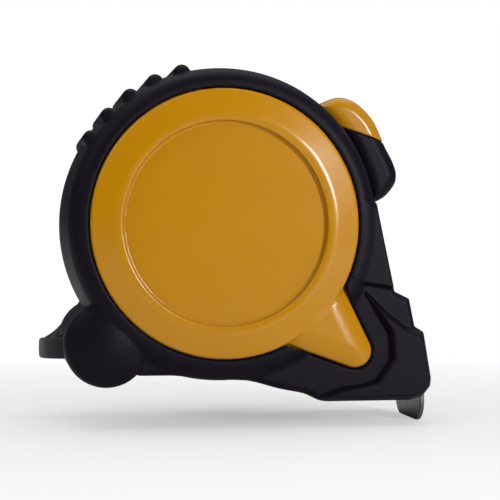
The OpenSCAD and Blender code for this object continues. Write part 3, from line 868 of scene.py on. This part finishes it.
def clip_form(c, m):
    """The belt clip: one bent strip, with a rounded free end and a countersunk hole."""
    start = c.floor + m.clip / 2
    end = CLIP_HIGH.y - m.clip / 2
    bend = (end - start) / 2
    top = c.recess - 2.5
    pinch = RIM_HALF + 0.8 + m.clip / 2
    leg = through([
        (end, top), (end, -5), (pinch + 0.9, -16), (pinch, -20), (pinch + 0.5, -23), (pinch + 2, -27),
    ], 6)
    line = [(start, -14)] + arc((start + bend, top), bend, 180, 0, 18) + leg
    strip = line_of(line, m.clip / 2)
    half = CLIP_HIGH.x
    rounded = outline([(-half, -27.2), (-half, 40), (half, 40), (half, -27.2)], 3.0)

    def distance(p):
        edges = np.where(p[:, 1] > start + bend, rounded(p[:, 0], p[:, 2]), np.abs(p[:, 0]) - half)
        return soft_max(strip(p[:, 1], p[:, 2]), edges, 0.2)

    def seat(p):
        r = np.hypot(p[:, 0], p[:, 2])
        flare = (r - CLIP_HOLE_R - (p[:, 1] - c.floor - 0.1) * 1.33) / 1.67
        return np.maximum(np.minimum(flare, r - CLIP_HOLE_R), p[:, 1] - c.floor - 3)

    return Form(distance).cut(Form(seat), 0.05)


# ---------------------------------------------------------------- the strap and the tape

# The strap's route about the reel's axis, in millimetres
STRAP_ROUTE = [
    (-24.6, -1.5, -24.2), (-29.6, -1.5, -24.2), (-32.2, -0.4, -24.2), (-33.4, 2.2, -24.3),
    (-33.7, 8.0, -24.6), (-33.6, 14.0, -24.9), (-32.4, 18.8, -24.9), (-29.0, 21.8, -22.8),
    (-24.4, 22.6, -17.6), (-19.6, 22.6, -9.4), (-14.4, 22.6, 0.0), (-11.0, 22.6, 8.4),
    (-10.2, 22.6, 15.4), (-8.0, 22.6, 21.4), (-3.2, 22.6, 24.0), (3.2, 22.6, 24.0),
    (8.0, 22.6, 21.4), (10.4, 22.6, 15.0), (11.2, 22.6, 3.0),
    (11.6, 23.0, -12.0), (11.8, 25.4, -20.0), (11.8, 25.4, -25.0), (11.8, 22.8, -27.4),
    (11.8, 20.4, -25.0), (11.6, 19.6, -18.0), (11.2, 19.6, -6.0), (10.4, 19.6, 15.0),
    (8.0, 19.6, 21.4), (3.2, 19.6, 24.0), (-3.2, 19.6, 24.0), (-8.0, 19.6, 21.4),
    (-10.2, 19.6, 15.4), (-11.0, 19.6, 8.4), (-14.4, 19.6, 0.0), (-23.6, 19.6, -16.4),
    (-28.4, 18.8, -22.2), (-31.0, 16.0, -24.4), (-31.9, 8.0, -24.4), (-31.2, 3.2, -24.2),
    (-28.6, 1.5, -24.2),
]
ROUND = 16


def strap_rings(line, width, thickness):
    """Rings of points round a flat band, with its width upright by the lobe and level by the clip."""
    across = Vector((0, 0, 1))
    rings = []
    by_clip = 5
    for i, point in enumerate(line):
        ahead = Vector(line[min(i + 1, len(line) - 1)] - line[max(i - 1, 0)]).normalized()
        guide = Vector((1, 0, 0)) if point[0] > by_clip else Vector((0, 0, 1))
        turned_across = (guide - guide.dot(ahead) * ahead).normalized()
        across = -turned_across if turned_across.dot(across) < 0 else turned_across
        out = ahead.cross(across)
        ring = []
        for k in range(ROUND):
            turn = 2 * math.pi * k / ROUND
            wide = math.copysign(abs(math.cos(turn)) ** 0.45, math.cos(turn)) * width / 2
            thick = math.copysign(abs(math.sin(turn)) ** 0.7, math.sin(turn)) * thickness / 2
            ring.append(Vector(point) + across * wide + out * thick)
        rings.append(ring)
    return rings


def tube(name, rings):
    """A closed tube through rings of points, with its distance along and round it kept as attributes."""
    size = len(rings[0])
    points = [p for ring in rings for p in ring]
    faces = [
        (i * size + k, i * size + (k + 1) % size, (i + 1) * size + (k + 1) % size, (i + 1) * size + k)
        for i in range(len(rings) - 1)
        for k in range(size)
    ]
    ends = [list(range(size))[::-1], [(len(rings) - 1) * size + k for k in range(size)]]
    piece = new_piece(name, [tuple(p) for p in points], faces + ends)
    along, travelled = [], 0.0
    for i, ring in enumerate(rings):
        centre = sum(ring, Vector()) / size
        if i:
            travelled += (centre - before).length
        before = centre
        along += [travelled] * size
    around = [k / size for _ in rings for k in range(size)]
    for label, values in (("along", along), ("around", around)):
        piece.data.attributes.new(label, "FLOAT", "POINT").data.foreach_set("value", values)
    return piece


def tongue_grid():
    """Points and faces of the tape's straight end, flat at the coil and cupped at the mouth."""
    stations = np.linspace(BLADE_LOW.x, BLADE_HIGH.x, 60)
    shares = np.interp(stations, [3, 6, 9, 12, 15, 18], [0, 0.12, 0.35, 0.65, 0.88, 1])
    across = np.linspace(-TAPE_HALF, TAPE_HALF, 33)
    points = [
        (x, y, BLADE_Z + s * h + level)
        for level in (-BLADE_HALF, BLADE_HALF)
        for x, s in zip(stations, shares)
        for y, h in zip(across, cupped(across))
    ]
    wide, deep = len(across), len(stations)
    layer = wide * deep
    faces = []
    for i in range(deep - 1):
        for j in range(wide - 1):
            a = i * wide + j
            b, d, e = a + 1, a + wide, a + wide + 1
            faces += [(a, b, e, d), (layer + a, layer + d, layer + e, layer + b)]
    rim = list(range(wide)) + [i * wide + wide - 1 for i in range(1, deep)]
    rim += [(deep - 1) * wide + j for j in range(wide - 2, -1, -1)]
    rim += [i * wide for i in range(deep - 2, 0, -1)]
    for a, b in zip(rim, rim[1:] + rim[:1]):
        faces.append((b, a, layer + a, layer + b))
    return points, faces


# ---------------------------------------------------------------- finishes


class Wire:
    """A shader socket that takes part in arithmetic."""

    def __init__(self, nodes, socket):
        self.nodes = nodes
        self.socket = socket

    def math(self, operation, *others, clamp=False):
        """A step of arithmetic on this socket and others."""
        values = dict(enumerate((self, *others)))
        return self.nodes.add("ShaderNodeMath", {"operation": operation, "use_clamp": clamp}, values)

    def __add__(self, other):
        return self.math("ADD", other)

    def __sub__(self, other):
        return self.math("SUBTRACT", other)

    def __mul__(self, other):
        return self.math("MULTIPLY", other)

    def __truediv__(self, other):
        return self.math("DIVIDE", other)

    def __rsub__(self, other):
        return self.nodes.add("ShaderNodeMath", {"operation": "SUBTRACT"}, {0: other, 1: self})

    __radd__ = __add__
    __rmul__ = __mul__

    def __gt__(self, other):
        return self.math("GREATER_THAN", other)

    def __lt__(self, other):
        return self.math("LESS_THAN", other)

    def __mod__(self, other):
        return self.math("FLOORED_MODULO", other)

    def __pow__(self, other):
        return self.math("POWER", other)

    def __abs__(self):
        return self.math("ABSOLUTE")

    def wave(self):
        return self.math("SINE")

    def clamped(self):
        return self.math("ADD", 0.0, clamp=True)


class Nodes:
    """A node tree under the making, with one method for any node."""

    def __init__(self, tree, end):
        self.tree = tree
        tree.nodes.clear()
        self.end = tree.nodes.new(end)

    def add(self, kind, settings=None, inputs=None, out=0):
        """Any node: its settings first, then its sockets' values or links. Gives its output."""
        node = self.tree.nodes.new(kind)
        for name, value in (settings or {}).items():
            setattr(node, name, value)
        self.fill(node, inputs or {})
        return Wire(self, node.outputs[out])

    def fill(self, node, inputs):
        """Values or links of a node's sockets."""
        for name, value in inputs.items():
            if isinstance(value, Wire):
                self.tree.links.new(value.socket, node.inputs[name])
            else:
                node.inputs[name].default_value = value

    def show(self, shader):
        """Makes a shader the one that is seen."""
        self.fill(self.end, {"Surface": shader})

    def axes(self, place):
        """The three parts of a position."""
        split = self.tree.nodes.new("ShaderNodeSeparateXYZ")
        self.fill(split, {0: place})
        return [Wire(self, part) for part in split.outputs]


class Recipe(Nodes):
    """A material under the making."""

    def __init__(self, name):
        self.material = bpy.data.materials.new(f"{name}_finish")
        self.material.use_nodes = True
        super().__init__(self.material.node_tree, "ShaderNodeOutputMaterial")
        self.surface = self.tree.nodes.new("ShaderNodeBsdfPrincipled")
        self.show(self.shown())

    def shown(self):
        """The surface, as it may be mixed with another."""
        return Wire(self, self.surface.outputs["BSDF"])

    def set(self, **inputs):
        """Values or links of the surface's own sockets, named with _ for a space."""
        names = {key.replace("_", " ").lower(): value for key, value in inputs.items()}
        for socket in self.surface.inputs:
            if socket.name.lower() in names:
                self.fill(self.surface, {socket.name: names.pop(socket.name.lower())})
        if names:
            raise KeyError(f"the surface has no socket named {sorted(names)}")
        return self.material

    def place(self):
        """Position on the piece, in metres of the frame."""
        return self.add("ShaderNodeTexCoord", out="Object")

    def stretched(self, x, y, z):
        """Position, with each axis scaled."""
        return self.add("ShaderNodeMapping", {}, {"Vector": self.place(), "Scale": (x, y, z)})

    def noise(self, scale, detail=3.0, at=None, roughness=0.5):
        inputs = {"Vector": at or self.place(), "Scale": scale, "Detail": detail, "Roughness": roughness}
        return self.add("ShaderNodeTexNoise", {}, inputs)

    def blend(self, factor, first, second):
        """A colour between two."""
        first, second = (c if isinstance(c, Wire) else (*c, 1) for c in (first, second))
        inputs = {"Factor": factor, 6: first, 7: second}
        return self.add("ShaderNodeMix", {"data_type": "RGBA"}, inputs, out=2)

    def mottled(self, factor, colour, low, high):
        """A colour that wanders between a darker and a lighter tone of itself."""
        dark, light = (tuple(min(1.0, part * by) for part in colour) for by in (low, high))
        return self.blend(factor, dark, light)

    def bump(self, height, depth, strength=1.0):
        """A normal from a height, whose full range stands for depth in metres."""
        return self.add("ShaderNodeBump", {}, {"Height": height, "Distance": depth, "Strength": strength})


def yellow_plastic(f):
    """Glossy golden plastic, with a faint flow of colour and a very fine ripple."""
    m = Recipe("yellow_plastic")
    return m.set(
        base_color=m.mottled(m.noise(55, 3), f.yellow, 0.95, 1.05),
        roughness=0.2 + 0.10 * m.noise(160, 4),
        normal=m.bump(0.75 * m.noise(420, 2) + 0.25 * m.noise(2600, 2), 0.00001),
        coat_weight=0.22,
        coat_roughness=0.1,
        specular_ior_level=0.24,
    )


def black_rubber(f):
    """Satin rubber with a fine moulded grain and slightly greyer worn patches."""
    m = Recipe("black_rubber")
    grain = m.noise(5200, 3)
    wear = m.noise(90, 5)
    return m.set(
        base_color=m.mottled(wear, f.rubber, 0.75, 1.3),
        roughness=0.36 + 0.16 * wear + 0.05 * grain,
        normal=m.bump(grain, 0.00002),
        specular_ior_level=0.1,
    )


def plated_steel(name, plate, rough):
    """Plated steel, drawn in one direction."""
    m = Recipe(name)
    lines = m.noise(700, 4, m.stretched(1, 1, 0.06))
    return m.set(
        base_color=m.mottled(m.noise(260, 4), plate, 0.86, 1.1),
        metallic=1.0,
        roughness=rough + 0.16 * lines,
        normal=m.bump(lines, 0.000006),
    )


def screw_steel(f):
    """Zinc-plated screw steel."""
    m = Recipe("screw_steel")
    spots = m.noise(900, 5)
    return m.set(
        base_color=m.mottled(spots, f.steel, 0.7, 1.05),
        metallic=1.0,
        roughness=0.3 + 0.2 * spots,
        normal=m.bump(spots, 0.000008),
    )


def spring_steel(f):
    """Blued spring steel, with streaks along the strip."""
    m = Recipe("spring_steel")
    streaks = m.noise(1200, 4, m.stretched(1, 0.05, 1))
    return m.set(
        base_color=m.mottled(streaks, f.spring, 0.7, 1.25),
        metallic=1.0,
        roughness=0.28 + 0.2 * streaks,
        normal=m.bump(streaks, 0.000005),
    )


def black_nylon(f):
    """Moulded nylon with a spark-eroded grain."""
    m = Recipe("black_nylon")
    grain = m.noise(3600, 4)
    colour = m.mottled(m.noise(120, 3), f.nylon, 0.85, 1.25)
    return m.set(base_color=colour, roughness=0.42 + 0.15 * grain, normal=m.bump(grain, 0.00002))


def liner_plastic(f):
    """Milky slip liner, rubbed in rings by the tape."""
    m = Recipe("liner_plastic")
    rubbed = m.noise(500, 4, m.stretched(1, 0.2, 1))
    colour = m.mottled(rubbed, f.liner, 0.92, 1.03)
    return m.set(base_color=colour, roughness=0.32 + 0.2 * rubbed, normal=m.bump(rubbed, 0.000008))


def strap_webbing(f):
    """Woven strap: slanting yarns that cross, along the strap and round it."""
    m = Recipe("strap_webbing")
    along = 7.0 * m.add("ShaderNodeAttribute", {"attribute_name": "along"}, out="Fac")
    around = (2 * math.pi * 9) * m.add("ShaderNodeAttribute", {"attribute_name": "around"}, out="Fac")
    yarn = (along + around).wave() * (along - around).wave() * 0.5 + 0.5
    height = yarn * 0.8 + 0.2 * m.noise(9000, 2)
    return m.set(
        base_color=m.mottled(yarn, f.webbing, 0.55, 1.5),
        roughness=0.72 + 0.12 * yarn,
        normal=m.bump(height, 0.00012),
        sheen_weight=0.2,
    )


def tape_enamel(f):
    """Enamelled tape, with a short line each millimetre, a longer one each five and the longest each ten."""
    m = Recipe("tape_enamel")
    x, y, _ = m.axes(m.place())
    from_hook = (HOOK_HIGH.x * MM + AXIS.x) - x
    from_edge = TAPE_HALF * MM - abs(y - AXIS.y)

    def lines(step, half, tall):
        """Lines across the tape's edge, from their spacing, half width and length in millimetres."""
        step = step * MM
        near = abs((from_hook + step / 2) % step - step / 2) < half * MM
        return near * (from_edge < tall * MM)

    ink = (lines(1, 0.07, 3.0) + lines(5, 0.09, 4.6) + lines(10, 0.12, 7.5)).clamped()
    worn = m.noise(300, 4)
    return m.set(
        base_color=m.blend(ink, m.mottled(worn, f.enamel, 0.93, 1.05), tuple(f.ink)),
        roughness=0.26 + 0.12 * worn,
        normal=m.bump(m.noise(1500, 2), 0.000006),
    )


def coil_enamel(f):
    """The wound tape's enamel, rubbed darker in patches."""
    m = Recipe("coil_enamel")
    worn = m.noise(800, 4)
    colour = m.mottled(worn, f.enamel, 0.55, 0.95)
    return m.set(base_color=colour, roughness=0.35 + 0.2 * worn, normal=m.bump(worn, 0.00001))


FINISH_MAKERS = {
    "yellow_plastic": yellow_plastic,
    "black_rubber": black_rubber,
    # The hook's steel takes a colour darkened as painted shade, which stands in for the dark surroundings it
    # reflects.
    "hook_steel": lambda f: plated_steel("hook_steel", f.shade_darkened_steel, 0.28),
    "clip_steel": lambda f: plated_steel("clip_steel", f.steel, 0.2),
    "screw_steel": screw_steel,
    "spring_steel": spring_steel,
    "black_nylon": black_nylon,
    "liner_plastic": liner_plastic,
    "strap_webbing": strap_webbing,
    "tape_enamel": tape_enamel,
    "coil_enamel": coil_enamel,
}


def finish(context, name):
    """A material, made the first time it is asked for."""
    return bpy.data.materials.get(f"{name}_finish") or FINISH_MAKERS[name](context.scene.tape_finishes)


# CAD nodes that keep their own mesh, with their finish and slot
KEPT_NODES = {
    "centre_post": ("black_nylon", "black_nylon"),
    "mouth_guide": ("clip_steel", "clip_steel"),
    "hook_bumper": ("black_rubber", "black_rubber"),
    "strap_pin": ("screw_steel", "screw_steel"),
    "reel_drum": ("black_nylon", "black_nylon"),
    "reel_cover": ("black_nylon", "black_nylon"),
    "blade_coil": ("coil_enamel", "tape_enamel"),
    "power_spring": ("spring_steel", "spring_steel"),
    "slip_discs": ("liner_plastic", "liner_plastic"),
    "lock_slide": ("black_nylon", "black_nylon"),
    "brake_pad": ("black_rubber", "black_rubber"),
    "lock_detent_spring": ("spring_steel", "spring_steel"),
}


# ---------------------------------------------------------------- operators


def aimed(context, name, data, aim, back, distance):
    """A camera or light at a distance, turned to look at a point."""
    thing = bpy.data.objects.new(name, data)
    thing.location = aim + back * distance
    thing.rotation_euler = (-back).to_track_quat("-Z", "Y").to_euler()
    context.scene.collection.objects.link(thing)
    return thing


class TAPE_OT_studio(bpy.types.Operator):
    """Make the camera, the pale floor and the soft lights"""

    bl_idname = "tape.studio"
    bl_label = "Studio"

    def execute(self, context):
        s = context.scene.tape_studio
        aim = AXIS + Vector(AIM) * MM
        back = Vector((-math.sin(s.turn), -math.cos(s.turn), 0))
        lens = bpy.data.cameras.new("camera")
        lens.lens = s.lens
        lens.sensor_width = 36
        lens.clip_start = 0.01
        lens.clip_end = 20
        context.scene.camera = aimed(context, "camera", lens, aim, back, s.distance)
        self.make_floor(context, s)
        self.make_world(context)
        for name, light in LIGHTS.items():
            self.add_light(context, name, aim, *light)
        return {"FINISHED"}

    def make_floor(self, context, s):
        half = 4.0
        corners = [(-half, -half, 0), (half, -half, 0), (half, half, 0), (-half, half, 0)]
        mesh = bpy.data.meshes.new("floor")
        mesh.from_pydata(corners, [], [(0, 1, 2, 3)])
        floor = bpy.data.objects.new("floor", mesh)
        context.scene.collection.objects.link(floor)
        m = Recipe("floor_paint")
        m.set(base_color=m.mottled(m.noise(3, 2), s.floor, 0.985, 1.0), roughness=0.8)
        away = m.add("ShaderNodeVectorMath", {"operation": "LENGTH"}, {0: m.place()}, out=1)
        seen = m.add("ShaderNodeLightPath")
        fade = (0.6 + (away - 0.06) / 0.3).clamped() * seen
        glow = m.add("ShaderNodeEmission", {}, {"Color": (1, 1, 1, 1), "Strength": 1.0})
        m.show(m.add("ShaderNodeMixShader", {}, {0: fade, 1: m.shown(), 2: glow}))
        mesh.materials.append(m.material)

    def make_world(self, context):
        """White behind the object, and softer round it: dim at the front and low, brighter overhead."""
        world = bpy.data.worlds.new("studio")
        world.use_nodes = True
        w = Nodes(world.node_tree, "ShaderNodeOutputWorld")
        _, y, z = w.axes(w.add("ShaderNodeTexCoord", out="Generated"))

        def rising(value, *limits):
            names = ("From Min", "From Max", "To Min", "To Max")
            return w.add("ShaderNodeMapRange", {}, {"Value": value, **dict(zip(names, limits))})

        light = rising(z, 0.1, 0.9, 0.1, 0.55) * rising(y, -0.85, -0.2, 0.25, 1.0)
        soft = w.add("ShaderNodeBackground", {}, {"Strength": light})
        plain = w.add("ShaderNodeBackground", {}, {"Color": (1, 1, 1, 1), "Strength": 1.0})
        w.show(w.add("ShaderNodeMixShader", {}, {0: w.add("ShaderNodeLightPath"), 1: soft, 2: plain}))
        context.scene.world = world
        context.scene.view_settings.view_transform = "Standard"

    def add_light(self, context, name, aim, azimuth, elevation, distance, size, watts):
        a, e = math.radians(azimuth), math.radians(elevation)
        back = Vector((math.sin(a) * math.cos(e), -math.cos(a) * math.cos(e), math.sin(e)))
        data = bpy.data.lights.new(name, "AREA")
        data.shape = "RECTANGLE"
        data.size, data.size_y = size
        data.energy = watts
        aimed(context, name, data, aim, back, distance)


class TAPE_OT_strap(bpy.types.Operator):
    """Make the woven wrist strap"""

    bl_idname = "tape.strap"
    bl_label = "Wrist strap"

    def execute(self, context):
        s = in_mm(context.scene.tape_strap)
        corners = np.array(STRAP_ROUTE)
        line = [np.clip(p, corners.min(0), corners.max(0)) for p in through(STRAP_ROUTE, 7)]
        strap = tube("wrist_strap_webbing", strap_rings(line, s.width, s.thickness))
        finished(context, strap, "case", "wrist_strap", "strap_webbing")
        return {"FINISHED"}


class TAPE_OT_shells(bpy.types.Operator):
    """Make the two moulded shells with their glossy discs"""

    bl_idname = "tape.shells"
    bl_label = "Case shells"

    def execute(self, context):
        c = case_sizes(context)
        box = (JACKET_LOW.x, 0, BOTTOM), (FRONT, RIM_HALF, CASE_R)
        for side, name in SIDE_NAMES.items():
            shell = carved(f"{name}_shell", shell_form(c, side), box, c.detail, side)
            finished(context, shell, "case", f"{name}_case_shell", "yellow_plastic")
        return {"FINISHED"}


class TAPE_OT_jackets(bpy.types.Operator):
    """Make the two rubber jackets"""

    bl_idname = "tape.jackets"
    bl_label = "Rubber jackets"

    def execute(self, context):
        c = case_sizes(context)
        box = (JACKET_LOW.x - 1, 0, BOTTOM), (FRONT, RIM_HALF, CASE_R + 1)
        for side, name in SIDE_NAMES.items():
            jacket = carved(f"{name}_jacket", jacket_form(c, side), box, c.detail, side)
            finished(context, jacket, "case", f"{name}_rubber_jacket", "black_rubber")
        return {"FINISHED"}


class TAPE_OT_lock(bpy.types.Operator):
    """Make the thumb lock's button and rubber grip"""

    bl_idname = "tape.lock"
    bl_label = "Thumb lock"

    def execute(self, context):
        c = case_sizes(context)
        k = in_mm(context.scene.tape_lock)
        button, grip = lock_parts(c, k)
        box = (18, -LOCK_HALF, 2), (CASE_R + 8, LOCK_HALF, CASE_R)
        upper = carved("lock_button_cap", button, box, k.detail)
        finished(context, upper, "lock", "lock_button", "yellow_plastic")
        lower = carved("lock_grip_cap", grip, box, k.detail)
        finished(context, lower, "lock", "lock_grip", "black_rubber")
        return {"FINISHED"}


class TAPE_OT_hook(bpy.types.Operator):
    """Make the end hook, its rivets and the straight end of the tape"""

    bl_idname = "tape.hook"
    bl_label = "End hook and tape"

    def execute(self, context):
        m = in_mm(context.scene.tape_metal)
        hook = carved("hook_plate", hook_form(m), reach("end_hook"), m.detail)
        finished(context, hook, "hook", "end_hook", "hook_steel")
        both = joined([rivet(m, x) for x in RIVETS_X])
        rivets = carved("rivet_pair", both, reach("hook_rivets"), m.fine_detail)
        finished(context, rivets, "blade", "hook_rivets", "screw_steel")
        tongue = new_piece("tape_end", *tongue_grid())
        finished(context, tongue, "blade", "blade_tongue", "tape_enamel")
        return {"FINISHED"}


class TAPE_OT_clip(bpy.types.Operator):
    """Make the belt clip, its screw and the case screws"""

    bl_idname = "tape.clip"
    bl_label = "Clip and screws"

    def execute(self, context):
        c = case_sizes(context)
        m = in_mm(context.scene.tape_metal)
        clip = carved("clip_strip", clip_form(c, m), reach("belt_clip"), m.clip_detail)
        finished(context, clip, "case", "belt_clip", "clip_steel")
        screw = carved("clip_screw", clip_screw_form(c, m), reach("belt_clip_screw"), m.fine_detail)
        finished(context, screw, "case", "belt_clip_screw", "screw_steel")
        trio = joined([case_screw(c, at) for at in SCREWS_AT])
        screws = carved("shell_screws", trio, reach("case_screws"), m.screw_detail)
        finished(context, screws, "case", "case_screws", "screw_steel")
        return {"FINISHED"}


class TAPE_OT_inside(bpy.types.Operator):
    """Give the reel and the other inner pieces their finishes"""

    bl_idname = "tape.inside"
    bl_label = "Inner pieces"

    def execute(self, context):
        for node, (material_name, slot) in KEPT_NODES.items():
            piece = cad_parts[node]
            material = finish(context, material_name)
            for place in piece.material_slots:
                place.material = material
            if not piece.material_slots:
                piece.data.materials.append(material)
        return {"FINISHED"}


class TAPE_PT_panel(bpy.types.Panel):
    """Lists the steps that build the tape measure"""

    bl_idname = "TAPE_PT_panel"
    bl_label = "Tape measure"
    bl_space_type = "VIEW_3D"
    bl_region_type = "UI"
    bl_category = "Tape measure"

    def draw(self, context):
        for step in STEPS:
            self.layout.operator(step.bl_idname)


STEPS = (
    TAPE_OT_studio, TAPE_OT_strap, TAPE_OT_shells, TAPE_OT_jackets,
    TAPE_OT_lock, TAPE_OT_hook, TAPE_OT_clip, TAPE_OT_inside,
)
GROUPS = {
    "tape_case": CaseSizes,
    "tape_lock": LockSizes,
    "tape_metal": MetalSizes,
    "tape_strap": StrapSizes,
    "tape_finishes": Finishes,
    "tape_studio": Studio,
}
CLASSES = (*GROUPS.values(), *STEPS, TAPE_PT_panel)


def register():
    for cls in CLASSES:
        bpy.utils.register_class(cls)
    for name, group in GROUPS.items():
        setattr(bpy.types.Scene, name, bpy.props.PointerProperty(type=group))


def unregister():
    for name in GROUPS:
        delattr(bpy.types.Scene, name)
    for cls in reversed(CLASSES):
        bpy.utils.unregister_class(cls)


def main():
    register()
    bpy.ops.tape.studio()
    bpy.ops.tape.strap()
    bpy.ops.tape.shells()
    bpy.ops.tape.jackets()
    bpy.ops.tape.lock()
    bpy.ops.tape.hook()
    bpy.ops.tape.clip()
    bpy.ops.tape.inside()


if __name__ == "__main__":
    main()
